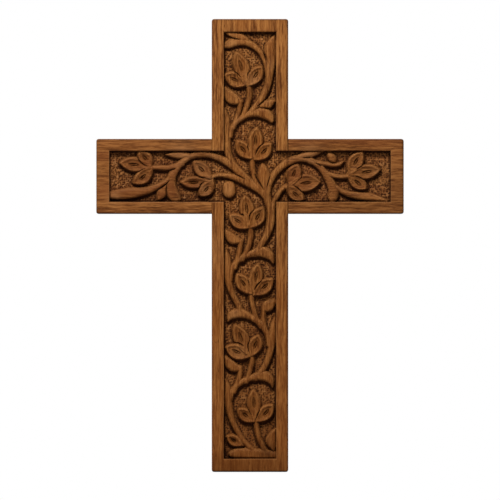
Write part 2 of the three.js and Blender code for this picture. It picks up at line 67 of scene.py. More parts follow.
# Boards, as the construction has them
SIDE_RIM = 8.0
END_RIM = 8.7
PANEL_DEPTH = 5.0
EDGE_RADIUS = 0.9
CORNER_RADIUS = 1.6
SEAM_GAP = 0.1  # from the crossbar's shoulders to the upright
SHOULDER_GAP = 0.02  # from the upright's shoulders to the crossbar
SEAM_RADIUS = 0.16
LAP = 7.0
EDGE_CALM = 4.0  # how far in from an edge the carver's unevenness is full
HOLE_SIDES = 48
PEG_HOLE_RADIUS = 3.15
PILOT_RADIUS = 1.55
HOLE_TIP_GAP = 0.15
DRILL_END = 6.0

# The sunk panel
GROUND = THICKNESS - PANEL_DEPTH
PANEL_SIDE = SIDE - SIDE_RIM
PANEL_BAND = BAND - SIDE_RIM
PANEL_ARM = ARM - END_RIM
PANEL_HEAD = HEAD - END_RIM
PANEL_FOOT = FOOT - END_RIM

# Carving
FLANK = 0.8
VINE_EDGE = 2.5
VINE_CROWN = 1.35
VINE_ROUNDING = 2.3
PETAL_EDGE = 3.2
PETAL_RIM = 4.3
PETAL_DISH = 1.1
CUP_HEIGHT = 3.5
EYE_DEPTH = 1.5
EYE_MIDDLE = 0.58
EYE_HALF_LENGTH = 0.19
EYE_HALF_WIDTH = 1.2
LEAF_LEAD = 0.9
PETAL_LEAD = 1.15
FULLNESS = 0.7
PIT_PITCH = 1.42
PIT_DEPTH = 0.9
CREASE_DEPTH = 1.7
SEAM_DEPTH = 0.8
REACH = 3.0
FINE = 0.385
COARSE = 2.0

# The photograph's frame and the camera
PIXELS = 500
PIXEL_SIZE = 0.6734
CROSSING_ROW = 176.45
CAMERA_Y = -1.2  # in metres

# Stems, each a run of (x, z, width)
STEMS = [
    # from the foot up to the lowest flower
    [(5, -187, 3), (-0.6, -182.4, 3.2), (-5.3, -177.2, 3.2), (-9, -171, 3.2), (-12, -164.5, 3.4),
     (-14, -157, 4.2), (-14.8, -150, 4.6), (-14.8, -145, 4.2), (-15.6, -140.5, 2.6), (-16.6, -137, 0.8)],
    [(-13.6, -151, 3), (-12.2, -146, 3.2), (-9.6, -142, 3.4), (-5.6, -138.8, 3.6), (-1, -136.6, 3.8),
     (3.6, -135.2, 4.6), (7.6, -134.5, 6.2), (10.8, -135, 6.6), (13.3, -136.9, 5), (14.7, -139.4, 2.6),
     (15.3, -142, 0.8)],
    [(-12, -187.2, 4.4), (-8, -186.8, 7), (0, -187, 7.4), (10, -187.8, 6.6), (17.4, -188.4, 5.6)],
    [(12.4, -189.4, 3.4), (10, -185.6, 3), (7.5, -180.2, 2.9), (5.7, -175.8, 2.8), (4.7, -170.5, 2.7),
     (3.8, -163, 2.4), (3.1, -157.5, 1.4)],
    # up to the second flower
    [(-10.8, -145.4, 3), (-8.8, -140.4, 3), (-7.2, -136.2, 2.8), (-6.6, -132, 2.8), (-6.9, -129, 3)],
    [(-2.5, -138.5, 3), (-1, -135, 2.7), (0.4, -130, 2.6), (1.3, -125.5, 2.6), (1.1, -120, 2.4),
     (-0.4, -113, 1.4)],
    [(3.8, -136.6, 3), (6.4, -133, 3.2), (9.4, -129.2, 3.4), (11.8, -124.2, 3.6), (13.7, -118, 4),
     (14.8, -112, 4.6), (15.5, -106, 4.6), (16, -100.4, 3.4), (16.5, -95.6, 0.8)],
    [(12.8, -114, 3), (12, -108.5, 3.2), (10.1, -103.6, 3.4), (7.4, -99.8, 3.6), (3.9, -97, 3.6),
     (0, -94.7, 3.8), (-4.3, -92.8, 5.4), (-8.6, -92.5, 6.3), (-11.8, -93.5, 5.6), (-13.6, -95.2, 3.4),
     (-14.6, -97.8, 0.8)],
    # up to the third flower
    [(7.6, -101.6, 3), (5, -97.5, 2.8), (3.3, -93, 2.7), (1.9, -88, 2.7), (0.9, -83, 2.7), (0.6, -78, 2.4),
     (1.4, -71.5, 1.4)],
    [(10, -102.6, 2.8), (9.2, -98, 2.6), (9.2, -93, 2.4), (9.3, -89, 2.6)],
    [(-6.6, -92, 3.4), (-7.8, -87.5, 3.4), (-10, -83, 3.3), (-12.4, -78, 3.5), (-14.2, -72, 4.2),
     (-15, -66, 4.8), (-15.2, -60, 4.8), (-15.4, -55, 3.6), (-16.2, -50, 0.8)],
    [(-13.2, -70, 2.6), (-12.6, -65, 2.8), (-10.8, -60.2, 3.2), (-7.4, -56.6, 3.4), (-3, -53.8, 3.6),
     (1.6, -52.2, 4.4), (6, -51.1, 6.2), (10, -51.5, 7), (13, -53.3, 5.6), (14.8, -55.9, 3),
     (15.6, -58.6, 0.8)],
    # up to the fourth flower
    [(-10.3, -61.8, 2.8), (-8.9, -57.8, 2.8), (-7.6, -53.2, 2.6), (-6.7, -48.2, 2.6), (-6.3, -43.8, 2.8)],
    [(-5.2, -56.4, 3), (-3.1, -52.5, 2.9), (-1, -47.8, 2.8), (0.3, -43.2, 2.8), (0.7, -38.5, 2.8),
     (0.2, -33, 2.4), (-0.8, -26.5, 1.4)],
    [(3.9, -53, 3), (6.2, -48.5, 3.2), (9, -44, 3.6), (11.6, -39.3, 4), (13.4, -33.6, 4.8), (14.1, -28, 5),
     (13.5, -22.5, 4.8), (11.9, -17, 4.6), (10.8, -12, 4.8), (10.2, -8, 4)],
    # from the crossing into the left arm
    [(11.4, -15, 4), (7.4, -10.4, 4.4), (2.6, -6.8, 4.8), (-3, -3.8, 4.8), (-9, -1.2, 4.2), (-15, 0.2, 3),
     (-21, 0.6, 2.6), (-28, -1, 2.4), (-33, -1.6, 1.4)],
    [(1, -5, 4), (-6, 1.6, 5), (-11, 6.4, 5), (-16.2, 9.7, 4.4), (-21.6, 12.4, 4), (-28, 14.5, 4),
     (-35, 14.6, 4.2), (-40.8, 12.8, 4), (-45.7, 9.2, 4), (-49.7, 4.8, 4.6), (-52.6, -0.6, 5.4),
     (-53.1, -6.5, 6), (-52.2, -11.5, 7.4), (-50.2, -15.2, 7)],
    [(-45.5, 8.2, 3.4), (-50, 6.7, 3.4), (-55.5, 5.6, 3.2), (-61, 5.6, 3), (-68, 5.9, 2.6), (-73, 6.8, 1.4)],
    [(-53.6, -1.7, 3), (-58.1, -4.7, 3.2), (-63.8, -7.7, 3.8), (-70.5, -10, 5), (-78, -11.2, 6.6),
     (-85.5, -12, 7), (-91.5, -12.6, 5.6), (-95.5, -13.4, 3)],
    [(-14.1, -7.5, 8), (-14.1, -10.4, 8.2)],
    # from the crossing into the right arm
    [(14.8, -26, 3), (15.8, -20.5, 3), (17.4, -15.5, 3), (20, -10.8, 2.8), (23.5, -7.5, 2.8),
     (28, -5.4, 2.4), (32.5, -4.4, 1.4)],
    [(11.5, -12, 4), (12.8, -6, 3.6), (15.2, -0.8, 3.8), (18.8, 4, 4), (23.4, 8, 4.6), (28.7, 10.8, 4.8),
     (34.1, 12, 4.4), (39.7, 10.9, 4), (44.6, 8.3, 3.6), (48.8, 4.3, 3.8), (51.9, -0.4, 4.6),
     (54.7, -5.5, 5.6), (56, -10, 6), (55.9, -13.4, 6.4), (55.6, -16.4, 4)],
    [(40, 10, 3), (45.5, 9.3, 2.8), (51, 8.3, 2.8), (56.2, 7.5, 2.9), (60.2, 7.9, 2.4), (62.8, 9.9, 0.8)],
    [(49.8, 2.8, 3), (54.2, 0.9, 2.9), (59.5, -0.3, 2.8), (64, -0.3, 2.7), (69, 0.9, 2.4), (74, 2.3, 1.4)],
    [(58.5, -7.5, 2.6), (62, -10.2, 3), (67, -12.2, 3.8), (73.8, -13.5, 4.8), (80.5, -14.2, 5.2),
     (85.5, -15.3, 4.4), (89.5, -16.1, 2.8), (92.4, -16.7, 1.4)],
    # from the crossing into the head
    [(10.5, -12.5, 3.6), (6.6, -7.6, 3.4), (3.8, -2.8, 3.2), (2.2, 2.3, 2.9), (1.7, 7.4, 2.8), (2, 14, 2.4),
     (2.8, 20.5, 1.4)],
    [(-8.5, 4, 4), (-12, 9.6, 3.6), (-14.6, 15, 4), (-15.6, 21, 4.8), (-15.6, 27, 5), (-15.8, 33, 4.8),
     (-16.2, 39, 3.6), (-17.2, 45.5, 0.8)],
    [(-13.1, 26.8, 2.6), (-12.1, 31.6, 2.8), (-9.6, 35.8, 3.2), (-5.8, 38.9, 3.4), (-1.4, 41.3, 3.8),
     (2.8, 42.4, 4.8), (6.8, 42.6, 6.2), (10.4, 41.8, 6.8), (13, 40, 5.6), (14.7, 37.4, 3)],
    [(-11, 32.6, 2.6), (-9.6, 37, 2.6), (-8, 41.6, 2.6), (-6.9, 46.2, 2.6), (-6.5, 50.2, 2.8)],
    [(-4.9, 39.3, 3), (-3.1, 43.9, 2.9), (-1.3, 49, 2.8), (-0.3, 54.3, 2.8), (-0.6, 59, 2.8),
     (-1.7, 63.8, 2.4), (-3.2, 70, 1.4)],
    [(0.5, 42.5, 3.4), (3.8, 46.6, 3.6), (7.2, 51, 3.8), (10, 56.2, 4), (12.2, 62, 4.2), (13.3, 68, 4.4),
     (14, 74, 5.2), (14.3, 78.6, 5.8), (13.7, 83, 7.2), (13.8, 86.8, 7.2), (14.9, 90.4, 4.8),
     (16.3, 94.2, 0.8)],
    [(11.8, 66, 2), (11.5, 71, 2.8), (10.7, 75.7, 2.9), (8.7, 80.4, 3), (6, 84.4, 3.3), (2.3, 87.6, 3.7),
     (-2, 89.7, 4.2), (-6.5, 90.5, 5), (-10.6, 90, 5.5), (-14, 88.8, 5.4), (-16.6, 87.8, 3.2)],
]

# Leaves, each (base x, base z, tip x, tip z, width, bend to the left of the way it points)
LEAVES = [
    (16, -185.6, 17.2, -170, 6.6, 2.4),
    (-5.6, -130.6, -16.9, -121.2, 6.6, 2.2),
    (8.4, -90.6, 17.2, -83.6, 7.2, 0),
    (-5.6, -44.4, -16.6, -36.2, 6.6, 2.2),
    (9.6, -9.8, 8.6, 8.6, 7.8, -0.4),
    (-38, 13.8, -56.6, 14.6, 4.8, 0),
    (-55.8, -5.4, -62, -16.3, 6.4, 0),
    (30.4, 11.8, 49.2, 16.8, 5, 0.6),
    (57.4, 9, 52.6, 16.2, 5.2, 0),
    (6.4, 47, 17, 50.8, 6, -0.6),
    (-5.4, 49.4, -17, 59.6, 7.8, 2.2),
    (-1, 91.8, -17.3, 97.2, 5.2, 0.2),
]

# Flowers, each its three petals in the leaves' form, and the cup (x, z, radius) that they grow from
FLOWERS = [
    ((3.2, -165, 2.3, -143.8, 8.6, 0), (4, -165.6, -7.9, -156.8, 8.8, 0.5),
     (3.8, -165.8, 15.6, -153.8, 9.2, -0.4), (3.6, -160.8, 4.4)),
    ((-2, -121, -10.1, -100, 10, -0.6), (0.6, -122, 5.8, -107, 9.2, -0.2),
     (0.8, -121.6, -16.2, -114.9, 10.4, 0.5), (-1.2, -117.4, 4.4)),
    ((2.4, -79.6, 5.5, -58.8, 8.6, 0), (1.8, -80, -8.6, -66, 9.8, 0.4), (1.8, -80.4, 15.4, -69.2, 9.6, -0.5),
     (1.6, -75, 4.6)),
    ((-0.8, -34.4, -3.2, -13, 9.6, 0), (-0.2, -35, -13.8, -26, 9.4, 0.5),
     (-0.4, -35.2, 8.6, -21.2, 9.8, -0.5), (-0.9, -30.2, 4.7)),
    ((2.8, 11.4, 4.6, 32.8, 9.4, 0), (2.6, 11.6, -8.8, 24, 9.4, 1), (2.2, 10.8, 14.2, 22, 9.2, -0.7),
     (2.6, 15.8, 4.6)),
    ((-2.8, 60.6, -9.3, 83.4, 10.4, -0.6), (-1.2, 61.6, -17, 68.4, 10.2, 0.5),
     (-1.8, 60.4, 7.8, 74, 9.4, -0.2), (-2.4, 64.8, 4.7)),
    ((-25.4, -2, -37.8, 9.9, 9.2, 0.3), (-26, -3.6, -46.8, -4, 8, 0.4), (-25, -1.8, -33.6, -13.5, 9, 0.8),
     (-28.6, -2, 4.2)),
    ((-66.6, 5.4, -75, 16.6, 8.8, -0.8), (-65.6, 6.6, -87.6, 9, 10, 0), (-65.4, 6.8, -78.2, -5, 9.4, 1),
     (-69.4, 6.6, 4.4)),
    ((26.8, -7.4, 32, 7.9, 10, 0.3), (25, -6, 47.4, -3.8, 11.6, 0.3), (24.6, -5.6, 36.2, -16, 8.6, -0.8),
     (29, -4.6, 4.6)),
    ((66.6, 0.6, 75.6, 16.5, 9.8, 0.4), (66.4, 1.4, 87.6, 4.2, 9.8, 0), (65.8, 2.6, 78.5, -8.6, 8.8, -0.8),
     (70.2, 2.2, 4.6)),
]

# A lone leaf beside the foot's mound, with an eye like a petal's
FOOT_LEAF = (-4.6, -181.6, -15.6, -174.8, 7.4, 0.4)

# Knife cuts that part one form from the next, each a run of (x, z, width)
CREASES = [
    # in the foot's and the upright's flowers
    [(6.6, -157.6, 0.5), (5.2, -160, 1), (4.4, -163, 0.4)],
    [(-1.4, -156.4, 0.5), (-0.4, -158.4, 0.8), (1, -160.6, 0.4)],
    [(-10.8, -111.8, 0.7), (-7.6, -112.2, 1.2), (-4, -114.4, 0.4)],
    [(-0.4, -110.4, 0.5), (-1.2, -113.6, 1.1), (-1.2, -117.6, 0.5)],
    [(7.9, -70.2, 0.6), (5, -73, 1.3), (2.7, -76.6, 0.4)],
    [(-1.4, -68.4, 0.5), (-1.2, -70.6, 0.8), (-0.4, -73, 0.4)],
    [(2.8, -22.6, 0.6), (0.9, -24.4, 1), (-0.2, -26.6, 1), (-0.5, -29.4, 0.4)],
    [(-6.8, -25.6, 0.6), (-5.2, -25.6, 1.2), (-3.8, -26.8, 0.4)],
    # at the crossing
    [(-9.8, 1.6, 0.6), (-7, 0.2, 1), (-3.4, -1.8, 0.4)],
    [(3.2, 1.6, 0.5), (4.6, -1.2, 1.3), (6.8, -5, 1.2), (9.2, -8.8, 0.4)],
    [(13.6, 0.4, 0.5), (12.4, -3.4, 0.8), (11.4, -7, 0.4)],
    # in the head
    [(8.8, 21.9, 0.6), (6.4, 19.8, 1.1), (4.7, 17.2, 1.2), (3.8, 14.4, 0.4)],
    [(-1.2, 22, 0.6), (-1.4, 19.8, 0.9), (-0.6, 17.4, 0.4)],
    [(13, 45.4, 1), (10.8, 46, 1.2), (8.2, 46.3, 0.4)],
    [(9.8, 51.4, 0.8), (7.6, 49.4, 1.2), (5, 47.2, 0.4)],
    [(0.4, 71.6, 0.4), (-1.3, 69.4, 0.9), (-1.9, 66, 0.4)],
    [(-10.2, 70.4, 0.5), (-8.2, 69, 0.9), (-6.2, 66.8, 0.4)],
    [(9, 84.4, 0.5), (10, 81.2, 1.3), (11, 77.6, 0.4)],
    [(-16.8, 95.2, 0.9), (-13.4, 93.6, 1.3), (-10, 92.6, 1), (-6.5, 92.2, 0.4)],
    # in the left arm
    [(-34.6, -0.2, 0.7), (-32, -0.7, 1.1), (-29.2, -1, 0.4)],
    [(-34.2, -8, 0.7), (-33, -5.4, 1.1), (-30.8, -3.6, 0.4)],
    [(-53.6, 4, 0.9), (-51.7, 4.7, 1), (-49.5, 5.6, 0.4)],
    [(-56.2, -12.2, 0.8), (-56.4, -8.8, 1.1), (-55.9, -5.9, 0.5)],
    [(-62.2, -9.2, 0.8), (-59.2, -7.2, 1.3), (-56.4, -5.2, 1.1), (-54.3, -3, 0.4)],
    [(-75.9, 13, 0.6), (-74, 10, 1.2), (-71.6, 8, 1), (-69.2, 7, 0.4)],
    [(-75.2, 2.9, 0.5), (-73, 4.4, 0.7), (-70.6, 5.2, 0.4)],
    # in the right arm
    [(35.4, 5.6, 0.5), (35.2, 2.4, 1), (34.6, -0.8, 0.7), (33.4, -2.2, 0.3)],
    [(35, -10.4, 0.7), (32.4, -8, 1.2), (29.6, -6.2, 0.4)],
    [(40.4, 12.9, 0.9), (38, 12.7, 1), (35, 12.4, 0.4)],
    [(47.9, 7.2, 0.8), (45.6, 8.5, 0.9), (43.2, 9.5, 0.3)],
    [(53.4, 9.7, 0.5), (55.6, 9.2, 1.1), (58.2, 9.2, 0.5)],
    [(75.8, 7.4, 0.5), (73.6, 6, 0.9), (71.2, 4.6, 0.3)],
    [(76.6, -2.2, 0.7), (73.4, -0.4, 1.2), (69.6, 0.8, 0.4)],
]

# Spots where the colour is painted paler and spots where it is painted darker, each (x, z, radius, amount)
PALER_SPOTS = [(-9, 37, 5, 0.6), (-91, -14.5, 4, 0.7), (40, 14, 8, 0.6), (-24, -1, 5, 0.6), (-46, 14, 9, 0.6),
        (-11, -27, 5, 0.6), (15, 75, 4.5, 0.35), (-8, -118, 6, 0.5), (-11, -94, 5, 0.6), (-31, -9, 4, 0.6),
        (-24, 12, 5, 0.5), (-34, 6, 4, 0.6), (88, 3, 5, 0.5), (2, 64, 5, 0.6), (-12, 88, 5, 0.5),
        (-22, -50, 14, 0.35), (-14, -9, 5, 0.6)]
DARKER_SPOTS = [(12, -184.5, 6, 0.5), (-16, -186, 3, 0.5), (11, -177, 4, 0.3), (17, -16, 6, 0.3), (9, -21, 3, 0.3),
         (14, -84, 3, 0.3), (4, -131, 3, 0.3), (-15.5, 91, 3, 0.35), (-17, 58, 2.5, 0.4), (28, -24.5, 5, 0.5),
         (-5, -55, 2.5, 0.4), (-50, -14, 3, 0.3)]


def new_object(name, data):
    made = bpy.data.objects.new(name, data)
    bpy.context.scene.collection.objects.link(made)
    return made


def new_mesh(points, faces):
    """A mesh from points in millimetres."""
    mesh = bpy.data.meshes.new("mesh")
    mesh.from_pydata((np.array(points) * MM).tolist(), [], faces)
    return mesh


def bell(value, middle, width):
    return np.exp(-((value - middle) / width) ** 2)


def ramp(low, high, value):
    """0 up to low and 1 from high, smooth between; the other way round if high is the lower."""
    t = np.clip((value - low) / (high - low), 0, 1)
    return t * t * (3 - 2 * t)


# Camera: square on to the front, level with the middle of the photograph
def add_camera():
    data = bpy.data.cameras.new("camera")
    data.type = "ORTHO"
    data.ortho_scale = PIXELS * PIXEL_SIZE * MM
    data.clip_end = 20
    camera = new_object("camera", data)
    camera.location = (0, CAMERA_Y, (CROSSING_ROW - PIXELS / 2) * PIXEL_SIZE * MM)
    camera.rotation_euler = (math.radians(90), 0, 0)
    bpy.context.scene.camera = camera


add_camera()


# Smooth noise, the same on every run
def lattice(seed, i, j):
    """A number from 0 to 1 for each whole-numbered cell."""
    mixed = (i * 374761393 + j * 668265263 + seed * 2246822519) & 0xFFFFFFFF
    mixed = ((mixed ^ (mixed >> 13)) * 1274126177) & 0xFFFFFFFF
    return ((mixed ^ (mixed >> 16)) & 0xFFFF) / 0xFFFF


def cell_of(place, size):
    return np.floor(place / size).astype(np.int64)


def noise(x, z, size, seed):
    """Value noise from -1 to 1, with features of the given size."""
    i, j = cell_of(x, size), cell_of(z, size)
    s, t = ramp(0, 1, x / size - i), ramp(0, 1, z / size - j)
    low = lattice(seed, i, j) * (1 - s) + lattice(seed, i + 1, j) * s
    high = lattice(seed, i, j + 1) * (1 - s) + lattice(seed, i + 1, j + 1) * s
    return 2 * (low * (1 - t) + high * t) - 1


# The carved forms, as depths inside their outlines in the plan
def spans_of(run, per_span=12):
    """A smooth line through a stem's points, a span at a time, as rows of x, z and half width."""
    points = np.array(run, float) * (1, 1, 0.5)
    ends = np.vstack([2 * points[0] - points[1], points, 2 * points[-1] - points[-2]])
    t = np.linspace(0, 1, per_span + 1)[:, None]
    for a, b, c, d in zip(ends, ends[1:], ends[2:], ends[3:]):
        yield b + 0.5 * t * (c - a + t * (2 * a - 5 * b + 4 * c - d + t * (3 * b - a - 3 * c + d)))


def stem_depth(run, x, z):
    """How far inside a stem's outline each place lies, down to minus REACH outside it."""
    depth = np.full(x.shape, -REACH)
    for span in spans_of(run):
        margin = span[:, 2].max() + REACH
        low, high = span[:, :2].min(0) - margin, span[:, :2].max(0) + margin
        near = (x > low[0]) & (x < high[0]) & (z > low[1]) & (z < high[1])
        px, pz, best = x[near], z[near], depth[near]
        for a, b in zip(span, span[1:]):
            step = b - a
            s = np.clip(((px - a[0]) * step[0] + (pz - a[1]) * step[1]) / (step[:2] @ step[:2]), 0, 1)
            gap = np.hypot(px - a[0] - s * step[0], pz - a[1] - s * step[1])
            best = np.maximum(best, a[2] + s * step[2] - gap)
        depth[near] = best
    return depth


def blade_depth(form, lead, x, z):
    """A leaf or petal: depth inside its outline, distance from its spine, and the share along it."""
    base_x, base_z, tip_x, tip_z, width, bend = form
    length = math.hypot(tip_x - base_x, tip_z - base_z)
    ux, uz = (tip_x - base_x) / length, (tip_z - base_z) / length
    along = ((x - base_x) * ux + (z - base_z) * uz) / length
    inside = np.clip(along, 0, 1)
    across = (z - base_z) * ux - (x - base_x) * uz - 4 * bend * inside * (1 - inside)
    swell = np.maximum(np.sin(math.pi * inside ** lead), 0)
    half = np.maximum(width / 2 * swell ** FULLNESS, 0.2)
    slope = width / 2 * FULLNESS * np.maximum(swell, 0.02) ** (FULLNESS - 1) * math.pi / length
    slope = np.minimum(slope * abs(np.cos(math.pi * inside ** lead)), 3)
    beyond = np.maximum(np.maximum(-along, along - 1), 0) * length
    beside = (abs(across) - half) / np.sqrt(1 + slope ** 2)
    depth = np.where(beyond > 0, -np.hypot(np.maximum(beside, 0), beyond), -beside)
    return np.maximum(depth, -REACH), abs(across), along


def merged(whole, depth, blur=0.4):
    """The union of two outlines, rounded a little where they meet."""
    overlap = np.clip(1 - abs(whole - depth) / blur, 0, 1)
    return np.maximum(whole, depth) + np.where(np.minimum(whole, depth) > -1, blur / 4 * overlap ** 2, 0)


def vine_height(depth):
    """Stems and leaves: a steep flank, then a round shoulder up to a flat crest."""
    flank = ramp(-FLANK, 0, depth)
    rise = 1 - np.clip(1 - depth / VINE_ROUNDING, 0, 1) ** 2
    return flank * (VINE_EDGE + VINE_CROWN * np.where(depth > 0, rise, 0))


def petal_height(depth, across, along):
    """A petal: a raised rim round a shallow dish, in which a groove leaves a lens-shaped eye."""
    flank = ramp(-FLANK, 0, depth)
    rim = PETAL_EDGE + (PETAL_RIM - PETAL_EDGE) * ramp(0, 0.9, depth)
    dished = ramp(0.6, 3.0, depth)
    opened = np.clip(1 - ((along - EYE_MIDDLE) / EYE_HALF_LENGTH) ** 2, 0, 1)
    share = across / (0.1 + EYE_HALF_WIDTH * opened)
    eye = ramp(1, 0.55, share) * (1 - 0.6 * ramp(0.45, 0, share)) * np.sqrt(opened)
    return flank * (rim - PETAL_DISH * dished - EYE_DEPTH * eye), dished


def carving(x, z):
    """The forms' height over the ground, the depth inside their outline, and how dished they are."""
    depth = np.full(x.shape, -REACH)
    for run in STEMS:
        depth = merged(depth, stem_depth(run, x, z))
    for form in LEAVES:
        depth = merged(depth, blade_depth(form, LEAF_LEAD, x, z)[0])
    height = vine_height(depth)
    dished = np.zeros(x.shape)
    for form in [petal for *petals, _ in FLOWERS for petal in petals] + [FOOT_LEAF]:
        inside, across, along = blade_depth(form, PETAL_LEAD, x, z)
        petal, dish = petal_height(inside, across, along)
        dished = np.where(petal > height, dish, dished)
        height = np.maximum(height, petal)
        depth = np.maximum(depth, inside)
    for *_, (cup_x, cup_z, radius) in FLOWERS:
        inside = np.maximum(radius - np.hypot(x - cup_x, z - cup_z), -REACH)
        height = np.maximum(height, CUP_HEIGHT * ramp(-FLANK, 0.6, inside) * (depth > -0.2))
    return height, depth, dished


def creases(x, z):
    """The cuts between forms: 1 at the bottom of one, 0 outside them."""
    depth = np.full(x.shape, -REACH)
    for run in CREASES:
        depth = np.maximum(depth, stem_depth(run, x, z))
    return ramp(-0.1, 0.4, depth)


def panel_inside(x, z):
    """How far inside the panel's outline each place lies."""
    reach = np.where(z > 0, PANEL_HEAD, PANEL_FOOT)
    column = np.minimum(PANEL_SIDE - abs(x), reach - abs(z))
    row = np.minimum(PANEL_ARM - abs(x), PANEL_BAND - abs(z))
    return np.maximum(column, row)


# The rim's softened arris and the panel's wall: places inside the outline, and the fall below the rim there
WALL = (-0.9, -0.5, -0.2, 0.0, 0.1, 0.25, 0.4)
WALL_FALL = (0.0, 0.01, 0.04, 0.16, 0.6, 2.9, PANEL_DEPTH)


def wall_height(inside):
    return PANEL_DEPTH - np.interp(inside, WALL, WALL_FALL)


def pits(x, z, seed=5):
    """The ground's punch marks: how deep each place lies in the deepest dent over it."""
    deepest = np.zeros(x.shape)
    for k in range(9):
        i, j = cell_of(x, PIT_PITCH) + k // 3 - 1, cell_of(z, PIT_PITCH) + k % 3 - 1
        across, up, size, force = [lattice(seed + n, i, j) for n in range(4)]
        pit_x, pit_z = (i + 0.15 + 0.7 * across) * PIT_PITCH, (j + 0.15 + 0.7 * up) * PIT_PITCH
        share = np.hypot(x - pit_x, z - pit_z) / (PIT_PITCH * (0.42 + 0.22 * size))
        deepest = np.maximum(deepest, np.clip(1 - share ** 2, 0, 1) * (0.5 + 0.5 * force))
    return deepest


def slopes(values, x, z):
    """How fast values on a grid rise along X and along Z."""
    along_z, along_x = np.gradient(values)
    return along_x / np.gradient(x, axis=1), along_z / np.gradient(z, axis=0)


def blots(table, x, z):
    """How far each place lies within soft round spots, 0 outside them."""
    spots = [amount * bell(np.hypot(x - at_x, z - at_z), 0, radius) for at_x, at_z, radius, amount in table]
    return np.maximum.reduce(spots)


def surface(x, z):
    """Height over the panel's ground, and two colour masks, each from 0 to 1: stain with painted shade, and
    wear with painted highlight.
    """
    forms, depth, dished = carving(x, z)
    inside = panel_inside(x, z)
    crease = creases(x, z)
    punched = pits(x, z) * np.interp(z, [-170, -60], [0.6, 1])
    open_ground = ramp(0.2, 0.9, -depth) * ramp(0.4, 1.2, inside)
    facing = slopes(depth, x, z)[1]
    under, beside = ramp(-0.3, 0.85, facing), ramp(-0.9, -0.2, facing)
    below_rim = ramp(-0.3, 0.85, -slopes(inside, x, z)[1])
    groove = (0.2 + 0.5 * under) * bell(depth, -FLANK - 0.3, 0.45)
    ground = 0.35 * noise(x, z, 5.5, 11) * open_ground - PIT_DEPTH * punched * open_ground - groove
    knife = 0.1 * noise(x, z, 2.6, 21) + 0.07 * noise(x, z, 1.3, 22)
    seam = bell(inside, 0.6, 0.4)
    cuts = np.maximum(CREASE_DEPTH * crease, SEAM_DEPTH * seam)
    carved = np.maximum(ground, forms + knife * ramp(-0.05, 0.25, depth) - cuts)
    height = np.maximum(np.where(inside > 0, carved, 0), wall_height(inside))

    # Spots painted paler and spots painted darker
    thin, darker = blots(PALER_SPOTS, x, z), blots(DARKER_SPOTS, x, z)
    # Painted shade at the foot of the forms, strongest beside them, and in the ground under them
    outline = (0.3 + 0.6 * beside) * ramp(1.7, 1.0, -depth)
    crevice = np.maximum(under * ramp(2.4, 1.4, -depth), outline)
    # Painted shade along the panel's wall, wider and darker under its top walls
    reach = np.where(abs(x) > PANEL_SIDE, 1.9, 2.6)
    near_rim = below_rim * ramp(reach, reach - 1.2, inside)
    corner = np.maximum(near_rim, 0.8 * ramp(1.5, 0.7, inside))
    dents = ramp(0.08, 0.55, punched)
    # Painted shade that deepens towards the foot
    foot_shade = ramp(-70, -170, z)
    on_ground = 0.03 + 0.18 * foot_shade + 0.82 * dents + np.maximum(crevice, corner) + darker - 0.3 * thin
    # Painted shade on the forms' slopes and lower edges that face down, and on the ground under them
    rise = slopes(forms, x, z)[1]
    overhang = ramp(0.15, 1.2, rise)
    on_flank = np.maximum(0.4 * ramp(2.4, 0.9, height), overhang)
    eye = ramp(2.9, 1.5, height) * (dished > 0.2)
    lower_edge = ramp(0.7, 0.1, depth) * ramp(-0.3, 0.6, facing)
    on_form = 0.1 + 0.08 * foot_shade + 0.1 * dished + np.maximum(0.6 * overhang, 0.85 * lower_edge) + darker
    on_form = np.maximum.reduce([on_form, 0.8 * eye, 0.85 * seam])
    stain_and_shade = np.where(depth > 0, on_form, on_flank + 0.6 * under * (inside > 0.6))
    stain_and_shade = np.where(depth > -FLANK, np.maximum(stain_and_shade, crease), on_ground)
    # On the rim: painted shade towards the foot, on the right arm growing downwards, and on the arris over
    # the panel's top walls
    on_rim = 0.24 * ramp(-180, -195, z) + 0.22 * ramp(20, 60, x) * ramp(20, -12, z)
    overhung = 0.55 * below_rim * ramp(-1.2, -0.1, inside)
    stain_and_shade = np.where(inside > 0.05, stain_and_shade, on_rim + 0.5 * darker + overhung)
    # Paler marks: painted highlight with some wear on the forms' arrises, most where they face up, and on the
    # rim's arris away from the top walls; wear with painted highlight on the ground's ridges; and the paler
    # spots
    lit = ramp(0.3, -0.9, rise)
    form_arris = (0.05 + 0.45 * lit) * bell(depth, 0.4, 0.7) * (inside > 0) * (depth > -0.3)
    rim_arris = 0.5 * (1 - below_rim) * bell(inside, -0.15, 0.35)
    specks = ramp(0.1, 0.8, noise(x, z, 1.3, 41)) * (1 - 0.6 * foot_shade)
    ridges = (1 - dents) * open_ground * (0.15 + 0.85 * specks)
    wear_and_highlight = np.maximum.reduce([form_arris, rim_arris, ridges, thin * ((depth > 0) | (inside < 0))])
    return height, np.clip(stain_and_shade, 0, 1), np.clip(wear_and_highlight, 0, 1)


def edge_shade(x, z, low, high):
    """Painted shade along a board's outer arris, darkest below and faint on the left."""
    edges = [(x - low[0], 0.15), (high[0] - x, 0.65), (z - low[1], 0.9), (high[1] - z, 0.4)]
    return np.maximum.reduce([amount * bell(distance, 0.4, 0.6) for distance, amount in edges])


# Boards: grids of lines over the front and the back
EASING = [0, 0.07, 0.24, 0.5, EDGE_RADIUS, CORNER_RADIUS]


def spread(low, high, pitch):
    """Places from low to high, both included, about a pitch apart."""
    return list(np.linspace(low, high, max(1, round((high - low) / pitch)) + 1))


def spread_between(stops):
    """The stops, with places at the carving's pitch between them."""
    return [place for a, b in zip(stops, stops[1:]) for place in spread(a, b, FINE)]


def edge_lines(edge):
    return [edge - inset for inset in EASING]


def wall_lines(outline):
    return [outline - place for place in WALL]


